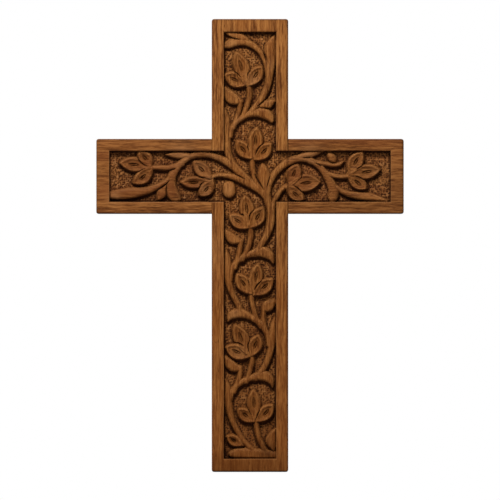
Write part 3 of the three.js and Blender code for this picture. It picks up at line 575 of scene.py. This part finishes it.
def rim_lines(edge, outline, pitch):
    """Lines from a board's outer edge to just inside the panel's wall."""
    outer, wall = edge_lines(edge), wall_lines(outline)
    return outer + spread(wall[0], outer[-1], pitch) + wall


def shoulder_lines(shoulder):
    """Lines on both sides of a lap's shoulder and over its eased arris."""
    return [shoulder + offset for offset in (-0.01, 0.01, 0.08, SEAM_RADIUS)]


def line_set(places):
    """Sorted places, without the ones that fall on another."""
    ordered = sorted(places)
    return np.array([a for a, b in zip(ordered, ordered[1:] + [1e9]) if b - a > 1e-4])


def eased(distance, radius):
    """How far a surface drops at a distance from a rounded edge."""
    inner = np.clip(radius - distance, 0, radius)
    return radius - np.sqrt(np.maximum(radius ** 2 - inner ** 2, 0))


def rounded(x, z, low, high):
    """Moves places near the corners of a board's plan onto rounded shells."""
    far_x = high[0]
    u = np.clip(CORNER_RADIUS - (far_x - abs(x)), 0, None)
    end = np.where(z > 0, high[1], low[1])
    v = np.clip(CORNER_RADIUS - abs(end - z), 0, None)
    both = (u > 0) & (v > 0)
    shrink = np.maximum(u, v) / np.maximum(np.hypot(u, v), 1e-9)
    return (np.where(both, np.sign(x) * (far_x - CORNER_RADIUS + u * shrink), x),
            np.where(both, end - np.sign(z) * (CORNER_RADIUS - v * shrink), z))


def snapped(x, z):
    """Moves grid places onto the forms' edges that pass close by."""
    depth = carving(x, z)[1]
    grad_x, grad_z = slopes(depth, x, z)
    steep = grad_x ** 2 + grad_z ** 2
    free = ramp(0.45, 0.9, panel_inside(x, z)) * (steep > 0.3)
    shift = np.zeros(x.shape)
    for edge in (0, -FLANK):
        off = edge - depth
        shift = np.where(abs(off) < FINE * 0.47, off, shift)
    shift = shift * free / np.maximum(steep, 0.3)
    return x + shift * grad_x, z + shift * grad_z


def warped(x, z, insets):
    """A carver's slight unevenness, none at the edges that the insets are measured from."""
    amount = 0.13 * np.prod([ramp(0, EDGE_CALM, inset) for inset in insets], axis=0)
    return x + amount * noise(x, z, 11, 31), z + amount * noise(x, z, 11, 32)


def grid_faces(ids):
    """Quads over a grid of vertex numbers, facing -Y."""
    return np.stack([ids[:-1, :-1], ids[:-1, 1:], ids[1:, 1:], ids[1:, :-1]], -1).reshape(-1, 4).tolist()


def front_faces(ids, zones, coarse):
    """Faces over the front; a zone of rows has every column, or only the coarse ones."""
    faces = []
    for first, last, kept in zones:
        faces += grid_faces(ids[first:last + 1][:, kept])
    for (_, row, kept), (after, _, _) in zip(zones, zones[1:]):
        from_coarse = kept is coarse
        sparse, full = (ids[row], ids[after]) if from_coarse else (ids[after], ids[row])
        for a, b in zip(coarse, coarse[1:]):
            face = [sparse[a], sparse[b], *full[a:b + 1][::-1]]
            faces.append(face if from_coarse else face[::-1])
    return faces


def edge_faces(borders):
    """Faces round a board's edge, each border with its vertices in front and at the back, the places in
    use in front and at the back, and the turn, 1 or -1."""
    faces = []
    for front, back, kept, stops, turn in borders:
        for k, (a, b) in enumerate(zip(stops, stops[1:])):
            path = [front[place] for place in kept if a <= place <= b]
            faces.append([path[0], back[k], back[k + 1], *path[:0:-1]][::turn])
    return faces


def board_mesh(plan, columns, rows, zones, coarse, back_columns, back_rows, shape_of):
    """A closed board from a fine grid over its front and a sparse one over its back.

    shape_of gives the distances from the edges that stay straight, where the front is carved, how far the
    front drops at its edges, and the back's y.
    """
    x, z = np.meshgrid(columns, rows)
    insets, carved, drop, _ = shape_of(x, z)
    near_x, near_z = [np.where(carved, moved, kept) for moved, kept in zip(snapped(x, z), (x, z))]
    height, stain_and_shade, wear_and_highlight = surface(near_x, near_z)
    # Painted shade along the board's outer arrises joins the darkening mask
    stain_and_shade = np.maximum(stain_and_shade, edge_shade(x, z, *plan))
    y = np.where(carved, drop - GROUND - height, -LAP)
    back_x, back_z = np.meshgrid(columns[back_columns], rows[back_rows])
    back_y = shape_of(back_x, back_z)[3]
    points = np.vstack([np.stack([px, py, pz], -1).reshape(-1, 3) for (px, pz), py in (
        (rounded(*warped(near_x, near_z, insets), *plan), y), (rounded(back_x, back_z, *plan), back_y))])

    front = np.arange(x.size).reshape(x.shape)
    back = x.size + np.arange(back_x.size).reshape(back_x.shape)
    every_row = np.arange(len(rows))
    faces = front_faces(front, zones, coarse)
    faces += [face[::-1] for face in grid_faces(back)]
    faces += edge_faces([(front[0], back[0], zones[0][2], back_columns, 1),
                         (front[-1], back[-1], zones[-1][2], back_columns, -1),
                         (front[:, -1], back[:, -1], every_row, back_rows, 1),
                         (front[:, 0], back[:, 0], every_row, back_rows, -1)])

    used = np.unique(np.concatenate([np.array(face) for face in faces]))
    renumber = np.zeros(len(points), int)
    renumber[used] = np.arange(len(used))
    mesh = new_mesh(points[used], [renumber[face].tolist() for face in faces])
    # The colour masks: stain with painted shade, and wear with painted highlight
    for label, values in (("stain_and_shade", stain_and_shade * carved), ("wear_and_highlight", wear_and_highlight * carved)):
        whole = np.concatenate([values.ravel(), np.zeros(back.size)])[used]
        mesh.attributes.new(label, "FLOAT", "POINT").data.foreach_set("value", whole.astype(np.float32))
    return mesh


def indices_of(lines, wanted):
    """Numbers of the lines closest to the wanted places."""
    return np.array(sorted({int(np.argmin(abs(lines - place))) for place in wanted}))


def mirrored(places):
    return [-place for place in places] + list(places)


def upright_mesh():
    plan = (-SIDE, -FOOT), (SIDE, HEAD)
    shoulder = BAND + SHOULDER_GAP
    notch = shoulder_lines(shoulder)
    wall = WALL[-1]
    inner = spread(wall - PANEL_SIDE, PANEL_SIDE - wall, FINE)
    columns = line_set(mirrored(rim_lines(SIDE, PANEL_SIDE, FINE)) + inner)
    coarse = indices_of(columns, mirrored(rim_lines(SIDE, PANEL_SIDE, COARSE)) + inner)

    crossing = wall_lines(PANEL_BAND) + [BAND - 0.05] + notch
    stops = sorted([wall - PANEL_FOOT, PANEL_HEAD - wall] + mirrored(crossing))
    ends = rim_lines(HEAD, PANEL_HEAD, COARSE) + [-place for place in rim_lines(FOOT, PANEL_FOOT, COARSE)]
    rows = line_set(ends + spread_between(stops))
    first, last = indices_of(rows, mirrored([PANEL_BAND - WALL[0]]))
    zones = [(0, first - 1, coarse), (first, last, np.arange(len(columns))),
             (last + 1, len(rows) - 1, coarse)]

    back_columns = indices_of(columns, mirrored(edge_lines(SIDE)) + [-12, 0, 12])
    back_ends = edge_lines(HEAD) + [-place for place in edge_lines(FOOT)]
    back_rows = indices_of(rows, back_ends + mirrored(notch) + spread(-180, -30, 15) + spread(30, 90, 15))

    def shape_of(x, z):
        side, end = SIDE - abs(x), np.where(z > 0, HEAD - z, z + FOOT)
        radius = np.where(abs(z) < BAND, SEAM_RADIUS, EDGE_RADIUS)
        drop = np.maximum(eased(side, radius), eased(end, EDGE_RADIUS))
        notched = np.maximum(drop, eased(abs(z) - shoulder, SEAM_RADIUS))
        return (side, end), True, drop, np.where(abs(z) < shoulder, -LAP, -notched)

    return board_mesh(plan, columns, rows, zones, coarse, back_columns, back_rows, shape_of)


def crossbar_mesh():
    plan = (-ARM, -BAND), (ARM, BAND)
    shoulder = SIDE + SEAM_GAP
    step = shoulder_lines(shoulder)
    wall = WALL[-1]
    carved = spread_between(step + [PANEL_ARM - wall])
    columns = line_set(mirrored(rim_lines(ARM, PANEL_ARM, COARSE) + carved) + spread(-20, 20, 5))
    inner = spread(wall - PANEL_BAND, PANEL_BAND - wall, FINE)
    rows = line_set(mirrored(rim_lines(BAND, PANEL_BAND, COARSE)) + inner)
    every_column = np.arange(len(columns))
    zones = [(0, len(rows) - 1, every_column)]
    back_ends = mirrored(edge_lines(ARM) + step)
    back_columns = indices_of(columns, back_ends + spread(-15, 15, 10) + mirrored(spread(35, 95, 15)))
    back_rows = indices_of(rows, mirrored(edge_lines(BAND)) + [-12, 0, 12])

    def shape_of(x, z):
        past, side, end = abs(x) - shoulder, BAND - abs(z), ARM - abs(x)
        radius = np.where(past < 0, SEAM_RADIUS, EDGE_RADIUS)
        drop = np.maximum(eased(side, radius), eased(end, EDGE_RADIUS))
        return (past, side, end), past > 0, np.maximum(drop, eased(past, SEAM_RADIUS)), -drop

    return board_mesh(plan, columns, rows, zones, every_column, back_columns, back_rows, shape_of)


def drill_mesh(holes):
    """Round cutters along Y for holes of (x, z, radius, tip y), out past the back and the strap."""
    work = bmesh.new()
    for x, z, radius, tip in holes:
        work.from_mesh(turned_mesh([(radius, tip), (radius, DRILL_END)], x, z, HOLE_SIDES))
    mesh = bpy.data.meshes.new("drills")
    work.to_mesh(mesh)
    work.free()
    return mesh


def cut_away(mesh, cutter):
    """The first mesh with the second one's space cut out of it."""
    blank, tool = new_object("blank", mesh), new_object("cutter", cutter)
    cut = blank.modifiers.new("cut", "BOOLEAN")
    cut.operation = "DIFFERENCE"
    cut.solver = "MANIFOLD"
    cut.object = tool
    evaluated = blank.evaluated_get(bpy.context.evaluated_depsgraph_get())
    result = bpy.data.meshes.new_from_object(evaluated)
    for obj in (blank, tool):
        bpy.data.objects.remove(obj)
    return result


def axis_of(name):
    """A round CAD node's axis along Y and its lowest y: (x, z, y)."""
    low, high = node_box(name)
    return (low[0] + high[0]) / 2, (low[2] + high[2]) / 2, low[1]


def holes_for(names, radius):
    """Holes a little deeper than the pieces that go into them."""
    return [(x, z, radius, tip - HOLE_TIP_GAP) for x, z, tip in map(axis_of, names)]


# Hardware on the back, in millimetres
HINGE = np.array([0, 2.0, 85.0])
WIRE_RADIUS = 0.9
WIRE_SIDES = 24
RING_HALF_WIDTH = 7.5
RING_CORNER = 2.2
RING_REACH = 12.0
RING_SHOULDER = 4.8
RING_HAUNCH = 10.344
RING_CROWN = 4.125
RING_LEAN = math.radians(4)
STRAP_HALF_WIDTH = 4.5
STRAP_SHEET = 0.8
STRAP_PLAY = 0.01
STRAP_END = 56.5
STRAP_MIDDLE = 68.0
STRAP_CORNER = 1.2
STRAP_EDGE = 0.16
KNUCKLE_RADIUS = 1.6
RISE = math.radians(25.6)  # how the outer leaf leans in to the knuckle
RISE_START = 78.8
RISE_KNEE = 79.64
RISE_END = (1.58, 80.44)  # as (y, z)
SHANK_RADIUS = 1.4
POINT_LENGTH = 3.0
POINT_RADIUS = 0.12
HEAD_RADIUS = 3.1
HEAD_BASE = 1.6
HEAD_RIM = 2.15
HEAD_TOP = 3.3
RECESS_FLOOR = (2.3, 0.7, 0.28)  # y, reach and half width of the cross-shaped recess
RECESS_MOUTH = (HEAD_TOP + 0.5, 2.05, 0.52)
PEG_RADIUS = 3.0
PEG_CHAMFER = 0.5
BUMPER_RADIUS = 5.0
BUMPER_FLAT = 3.2
BUMPER_WALL = 1.0
BUMPER_HEIGHT = 4.0
ROUND_SIDES = 64


def loft_mesh(rings, closed=False):
    """A mesh through rings of points, capped at both ends if it isn't closed."""
    points = np.array(rings, float)
    ids = np.arange(points.size // 3).reshape(points.shape[:2])
    ids = np.hstack([ids, ids[:, :1]])
    if closed:
        ids = np.vstack([ids, ids[:1]])
    faces = grid_faces(ids)
    if not closed:
        faces += [ids[0, :-1][::-1].tolist(), ids[-1, :-1].tolist()]
    mesh = new_mesh(points.reshape(-1, 3), faces)
    work = bmesh.new()
    work.from_mesh(mesh)
    bmesh.ops.recalc_face_normals(work, faces=work.faces)
    work.to_mesh(mesh)
    work.free()
    return mesh


def turns(sides):
    return 2 * math.pi * np.arange(sides) / sides


def turned_mesh(profile, x, z, sides=ROUND_SIDES):
    """A mesh turned round an axis along Y, from a profile of (radius, y)."""
    rings = [[(x + r * math.cos(t), y, z + r * math.sin(t)) for t in turns(sides)] for r, y in profile]
    return loft_mesh(rings)


def bezier(controls, steps):
    """Places along a Bezier curve, without its last one."""
    places = []
    for t in np.arange(steps) / steps:
        row = [np.array(control, float) for control in controls]
        while len(row) > 1:
            row = [a + t * (b - a) for a, b in zip(row, row[1:])]
        places.append(row[0])
    return places


def ring_mesh():
    """A D of round wire that leans back against the board."""
    half, corner, reach = RING_HALF_WIDTH, RING_CORNER, RING_REACH
    right = bezier([(0, 0), (half - corner, 0)], 5)
    right += bezier([(half - corner, 0), (half, 0), (half, corner)], 12)
    right += bezier([(half, corner), (half, RING_SHOULDER)], 3)
    right += bezier([(half, RING_SHOULDER), (half, RING_HAUNCH), (RING_CROWN, reach), (0, reach)], 26)
    path = np.array([*right, (0, reach), *[(-x, z) for x, z in right[:0:-1]]])
    way = np.roll(path, -1, 0) - np.roll(path, 1, 0)
    way /= np.linalg.norm(way, axis=1)[:, None]
    up = np.array([0, -math.sin(RING_LEAN), math.cos(RING_LEAN)])
    out = np.array([0, math.cos(RING_LEAN), math.sin(RING_LEAN)])
    across = np.array([1.0, 0, 0])
    rings = []
    for (x, z), (along_x, along_z) in zip(path, way):
        centre = HINGE + x * across + z * up
        side = along_z * across - along_x * up
        rings.append([centre + WIRE_RADIUS * (math.cos(t) * side + math.sin(t) * out)
                      for t in turns(WIRE_SIDES)])
    return loft_mesh(rings, closed=True)


def strap_path():
    """The strip's centre line as (y, z): up its outer leaf, round the knuckle, down the inner one."""
    outer, inner = 1.5 * STRAP_SHEET, 0.5 * STRAP_SHEET
    end = [0, 0.1, 0.35, 0.75, STRAP_CORNER]
    turn = np.linspace(-RISE, math.pi, 30)
    path = [(outer, STRAP_END + d) for d in end] + [(outer, STRAP_MIDDLE)]
    path += bezier([(outer, RISE_START), (outer, RISE_KNEE), RISE_END], 6)
    path += [(HINGE[1] + KNUCKLE_RADIUS * math.cos(t), HINGE[2] + KNUCKLE_RADIUS * math.sin(t))
             for t in turn]
    path += [(inner, STRAP_MIDDLE)] + [(inner, STRAP_END + d) for d in end[::-1]]
    return np.array(path)


def strip_section(half_width):
    """The strip's cross-section with eased edges, as (across, through)."""
    flat, half_sheet = half_width - STRAP_EDGE, STRAP_SHEET / 2 - STRAP_PLAY - STRAP_EDGE
    corners = [(1, 1, 0), (-1, 1, 90), (-1, -1, 180), (1, -1, 270)]
    return [(right * flat + STRAP_EDGE * math.cos(t), top * half_sheet + STRAP_EDGE * math.sin(t))
            for right, top, turn in corners for t in np.radians([turn, turn + 45, turn + 90])]


def strap_mesh(holes):
    path = strap_path()
    way = np.gradient(path, axis=0)
    way /= np.linalg.norm(way, axis=1)[:, None]
    rings = []
    for (y, z), (along_y, along_z) in zip(path, way):
        short = max(STRAP_CORNER - (z - STRAP_END), 0)
        half = STRAP_HALF_WIDTH - STRAP_CORNER + math.sqrt(STRAP_CORNER ** 2 - short ** 2)
        rings.append([(across, y + through * along_z, z - through * along_y)
                      for across, through in strip_section(half)])
    return cut_away(loft_mesh(rings), drill_mesh(holes))


def recess_mesh(z, turn):
    """A cross-shaped cutter that narrows inwards, for a screw's drive."""
    rings = []
    for y, reach, width in (RECESS_FLOOR, RECESS_MOUTH):
        corner = [(width, reach), (-width, reach), (-width, width)]
        rings.append([(u * math.cos(t) - v * math.sin(t), y, z + u * math.sin(t) + v * math.cos(t))
                      for t in turn + turns(4) for u, v in corner])
    return loft_mesh(rings)


def screw_mesh(z, tip, turn):
    """A pan-head screw along Y; its plain shank is hidden in the board."""
    dome = [(HEAD_RADIUS * s, HEAD_RIM + (HEAD_TOP - HEAD_RIM) * math.sqrt(1 - s ** 2.6))
            for s in (1, 0.985, 0.95, 0.9, 0.82, 0.7, 0.55, 0.35, 0.12)]
    shank = [(POINT_RADIUS, tip), (SHANK_RADIUS, tip + POINT_LENGTH), (SHANK_RADIUS, HEAD_BASE)]
    profile = shank + [(HEAD_RADIUS - 0.15, HEAD_BASE), (HEAD_RADIUS, HEAD_BASE + 0.13)] + dome
    return cut_away(turned_mesh(profile, 0, z), recess_mesh(z, turn))


def peg_mesh(x, tip):
    """A dowel across the lap, sanded flush with the back."""
    inner = [(PEG_RADIUS - PEG_CHAMFER, tip), (PEG_RADIUS, tip + PEG_CHAMFER)]
    sanded = [(PEG_RADIUS, -0.12), (PEG_RADIUS - 0.07, -0.03), (PEG_RADIUS - 0.2, 0)]
    return turned_mesh(inner + sanded, x, 0)


def bumper_mesh(x, z):
    """A soft domed pad with a flat for the wall, on a thin disc of adhesive."""
    turn = np.radians(np.linspace(0, 90, 12))
    disc = [(4.7, 0), (4.7, 0.16), (4.85, 0.22), (4.96, 0.4), (BUMPER_RADIUS, 0.7)]
    easing, rise = BUMPER_RADIUS - BUMPER_FLAT, BUMPER_HEIGHT - BUMPER_WALL
    dome = [(BUMPER_FLAT + easing * math.cos(t), BUMPER_WALL + rise * math.sin(t)) for t in turn]
    return turned_mesh(disc + dome + [(2.9, BUMPER_HEIGHT)], x, z)


def add_piece(name, replaced, mesh, material, body="cross", sharp=38):
    piece = new_object(name, mesh)
    mesh.name = name
    mesh.materials.clear()
    mesh.materials.append(material)
    mesh.shade_smooth()
    mesh.set_sharp_from_angle(angle=math.radians(sharp))
    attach(piece, body)
    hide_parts(replaced)


# Materials
def node(tree, kind, inputs=(), **settings):
    """A shader node with its settings and inputs; an input is a value or another node's output."""
    made = tree.nodes.new("ShaderNode" + kind)
    for key, value in settings.items():
        setattr(made, key, value)
    for key, value in dict(inputs).items():
        socket = made.inputs[key]
        if isinstance(value, bpy.types.NodeSocket):
            tree.links.new(value, socket)
        else:
            socket.default_value = (*value, 1) if socket.type == "RGBA" else value
    return made


def math_of(tree, operation, a, b):
    return node(tree, "Math", {0: a, 1: b}, operation=operation).outputs[0]


def times(tree, a, b):
    return math_of(tree, "MULTIPLY", a, b)


def weighted(tree, *terms):
    """The sum of values, each times its weight."""
    total = 0.0
    for value, weight in terms:
        total = math_of(tree, "ADD", total, times(tree, value, weight))
    return total


def blend(tree, factor, a, b):
    return node(tree, "Mix", {0: factor, 6: a, 7: b}, data_type="RGBA").outputs[2]


def span(tree, value, low, high, new_low=0.0, new_high=1.0):
    """Maps a stretch of values onto another, held at its ends."""
    return node(tree, "MapRange", {0: value, 1: low, 2: high, 3: new_low, 4: new_high}).outputs[0]


def millimetres(tree, scale, offset=(0, 0, 0)):
    """The place on the object in millimetres, times a scale for each axis."""
    place = node(tree, "TexCoord").outputs["Object"]
    stretch = [s / MM for s in scale]
    return node(tree, "Mapping", {"Vector": place, "Location": offset, "Scale": stretch}).outputs[0]


def speckle(tree, vector, detail=3.0, roughness=0.5, distortion=0.0):
    inputs = {"Vector": vector, "Scale": 1, "Detail": detail, "Roughness": roughness,
              "Distortion": distortion}
    return node(tree, "TexNoise", inputs).outputs["Fac"]


def bumped(tree, height, strength, depth):
    return node(tree, "Bump", {"Height": height, "Strength": strength, "Distance": depth * MM}).outputs[0]


def cleared_tree(owner):
    owner.use_nodes = True
    owner.node_tree.nodes.clear()
    return owner.node_tree


def new_material(name):
    material = bpy.data.materials.new(name)
    return material, cleared_tree(material)


def close_material(tree, shader):
    node(tree, "OutputMaterial", {"Surface": shader.outputs[0]})


def close_principled(tree, **inputs):
    named = {key.replace("_", " "): value for key, value in inputs.items()}
    close_material(tree, node(tree, "BsdfPrincipled", named))


def wood(name, grain, offset, pale, light, middle, ruddy, dark, stain_and_shade_colour):
    """Oiled hardwood with its grain along one axis: patches, growth bands, fibres and pores, darkened by
    stain and painted shade and paled by wear and painted highlight from the mesh's masks.
    """
    material, tree = new_material(name)

    def along(fine, stretch):
        scale = [fine] * 3
        scale[grain] = fine / stretch
        return millimetres(tree, scale, offset)

    patches = speckle(tree, along(0.035, 3), detail=2)
    bands = speckle(tree, along(0.16, 14), roughness=0.6, distortion=0.4)
    fibres = speckle(tree, along(0.62, 16), roughness=0.6)
    hairs = speckle(tree, along(1.4, 13), roughness=0.65)
    pore = span(tree, speckle(tree, along(1.9, 9), detail=1), 0.66, 0.74)
    flush = span(tree, speckle(tree, along(0.07, 5), detail=2), 0.48, 0.68, 0.0, 0.45)

    tone = weighted(tree, (bands, 0.6), (patches, 0.45), (fibres, 1.6), (hairs, 2.5))
    base = blend(tree, span(tree, tone, 2.13, 2.55), dark, middle)
    base = blend(tree, span(tree, tone, 2.51, 3.0), base, light)
    height = node(tree, "SeparateXYZ", {0: millimetres(tree, (1, 1, 1))}).outputs[2]
    # The ruddy tone also grows towards the foot, darkening the lower board
    flush = math_of(tree, "MAXIMUM", flush, span(tree, height, -40, -190, 0.0, 0.45))
    base = blend(tree, flush, base, ruddy)
    base = blend(tree, times(tree, pore, 0.6), base, stain_and_shade_colour)

    # Stain and painted shade darken the wood towards its darkest colour; wear and painted highlight pale it
    stain_and_shade = node(tree, "Attribute", attribute_name="stain_and_shade").outputs["Fac"]
    wear_and_highlight = node(tree, "Attribute", attribute_name="wear_and_highlight").outputs["Fac"]
    base = blend(tree, times(tree, wear_and_highlight, span(tree, hairs, 0.3, 0.65, 0.35, 0.9)), base, pale)
    uneven = span(tree, speckle(tree, along(0.9, 3)), 0.3, 0.7, 0.8, 1.15)
    mottled = math_of(tree, "MINIMUM", times(tree, stain_and_shade, uneven), 1.0)
    base = blend(tree, mottled, base, stain_and_shade_colour)

    relief = bumped(tree, weighted(tree, (hairs, 0.6), (fibres, 0.6), (pore, -0.8)), 0.55, 0.09)
    rough = weighted(tree, (span(tree, fibres, 0.3, 0.7, 0.5, 0.66), 1.0), (stain_and_shade, 0.15))
    close_principled(tree, Base_Color=base, Roughness=rough, Normal=relief, Specular_IOR_Level=0.05)
    return material


def plain(name, metallic, clouds, tones, roughness, grit, bump):
    """A surface of one substance, with clouds in its colour and roughness and a fine grit."""
    material, tree = new_material(name)
    scale, edges = clouds
    cloud = speckle(tree, millimetres(tree, [scale] * 3), detail=4)
    scale, detail, added = grit
    fine = speckle(tree, millimetres(tree, [scale] * 3), detail=detail)
    base = blend(tree, span(tree, cloud, *edges), *tones)
    rough = weighted(tree, (span(tree, cloud, 0.3, 0.7, *roughness), 1.0), (fine, added))
    relief = bumped(tree, fine, *bump)
    close_principled(tree, Base_Color=base, Metallic=metallic, Roughness=rough, Normal=relief)
    return material


ALONG_X, ALONG_Y, ALONG_Z = 0, 1, 2
UPRIGHT_WOOD = wood("upright_wood", ALONG_Z, (3, 1, 7), pale=(0.47, 0.21, 0.07), light=(0.39, 0.158, 0.04),
                    middle=(0.23, 0.08, 0.018), ruddy=(0.235, 0.064, 0.009), dark=(0.10, 0.029, 0.006),
                    stain_and_shade_colour=(0.027, 0.0066, 0.0014))
CROSSBAR_WOOD = wood("crossbar_wood", ALONG_X, (11, 5, 2), pale=(0.45, 0.2, 0.07), light=(0.34, 0.133, 0.035),
                     middle=(0.2, 0.068, 0.016), ruddy=(0.2, 0.056, 0.015), dark=(0.09, 0.027, 0.006),
                     stain_and_shade_colour=(0.025, 0.0062, 0.0014))
PEG_WOOD = wood("peg_wood", ALONG_Y, (2, 9, 4), pale=(0.45, 0.25, 0.1), light=(0.42, 0.22, 0.085),
                middle=(0.32, 0.15, 0.05), ruddy=(0.3, 0.12, 0.04), dark=(0.2, 0.08, 0.022),
                stain_and_shade_colour=(0.08, 0.025, 0.006))
ZINC = plain("zinc_steel", 1.0, (0.5, (0.35, 0.65)), ((0.42, 0.4, 0.36), (0.55, 0.53, 0.48)), (0.26, 0.42),
             (4, 2, 0.06), (0.25, 0.03))
RUBBER = plain("bumper_rubber", 0.0, (0.6, (0.4, 0.7)), ((0.011, 0.01, 0.009), (0.035, 0.031, 0.027)),
               (0.62, 0.8), (3, 3, 0.0), (0.35, 0.06))

PEGS = ("lap_peg_1", "lap_peg_2")
SCREWS = ("hanger_screw_1", "hanger_screw_2")
peg_holes = holes_for(PEGS, PEG_HOLE_RADIUS)
pilot_holes = holes_for(SCREWS, PILOT_RADIUS)

add_piece("upright_carved", "upright",
          cut_away(upright_mesh(), drill_mesh(peg_holes + pilot_holes)), UPRIGHT_WOOD, sharp=58)
add_piece("crossbar_carved", "crossbar",
          cut_away(crossbar_mesh(), drill_mesh(peg_holes)), CROSSBAR_WOOD, sharp=58)
for peg in PEGS:
    x, z, tip = axis_of(peg)
    add_piece(peg + "_turned", peg, peg_mesh(x, tip), PEG_WOOD)

add_piece("strap_folded", "hanger_strap", strap_mesh(pilot_holes), ZINC)
add_piece("ring_wire", "hanger_ring", ring_mesh(), ZINC, body="ring")
for screw, turn in zip(SCREWS, (0.35, -0.6)):
    x, z, tip = axis_of(screw)
    add_piece(screw + "_panhead", screw, screw_mesh(z, tip, turn), ZINC)
for bumper in ("bumper_left", "bumper_right"):
    x, z, tip = axis_of(bumper)
    add_piece(bumper + "_dome", bumper, bumper_mesh(x, z), RUBBER)


# Studio
WHITE = (1, 1, 1)
FLOOR_REACH = 6000.0


def add_floor():
    corners = [(x * FLOOR_REACH, y * FLOOR_REACH, -FOOT) for x, y in ((-1, -1), (1, -1), (1, 1), (-1, 1))]
    mesh = new_mesh(corners, [(0, 1, 2, 3)])
    material, tree = new_material("pale_floor")
    diffuse = node(tree, "BsdfDiffuse", {"Color": (0.62, 0.61, 0.6), "Roughness": 0.6})
    seen = node(tree, "LightPath").outputs["Is Camera Ray"]
    glow = node(tree, "Emission", {"Color": WHITE, "Strength": times(tree, seen, 0.45)})
    close_material(tree, node(tree, "AddShader", {0: diffuse.outputs[0], 1: glow.outputs[0]}))
    mesh.materials.append(material)
    new_object("floor", mesh)


def add_world():
    world = bpy.data.worlds.new("studio")
    bpy.context.scene.world = world
    tree = cleared_tree(world)
    path = node(tree, "LightPath").outputs
    seen = math_of(tree, "MAXIMUM", path["Is Camera Ray"], path["Is Glossy Ray"])
    seen = math_of(tree, "MAXIMUM", seen, path["Is Transmission Ray"])
    background = node(tree, "Background", {"Color": WHITE, "Strength": span(tree, seen, 0, 1, 0.28, 1.0)})
    node(tree, "OutputWorld", {"Surface": background.outputs[0]})


def add_lamp(name, place, target, size, energy):
    data = bpy.data.lights.new(name, "AREA")
    data.shape = "DISK"
    data.size, data.energy = size, energy
    lamp = new_object(name, data)
    lamp.location = place
    direction = np.array(target) - np.array(place)
    flat = math.hypot(*direction[:2])
    lamp.rotation_euler = (math.atan2(flat, -direction[2]), 0, math.atan2(-direction[0], direction[1]))


add_floor()
add_world()
add_lamp("key", (-0.18, -0.6, 0.52), (0, 0, -0.03), 0.26, 5.6)
add_lamp("back_fill", (0.5, 1.1, 0.6), (0, 0, -0.05), 0.7, 8.0)

bpy.context.scene.view_settings.view_transform = "Standard"
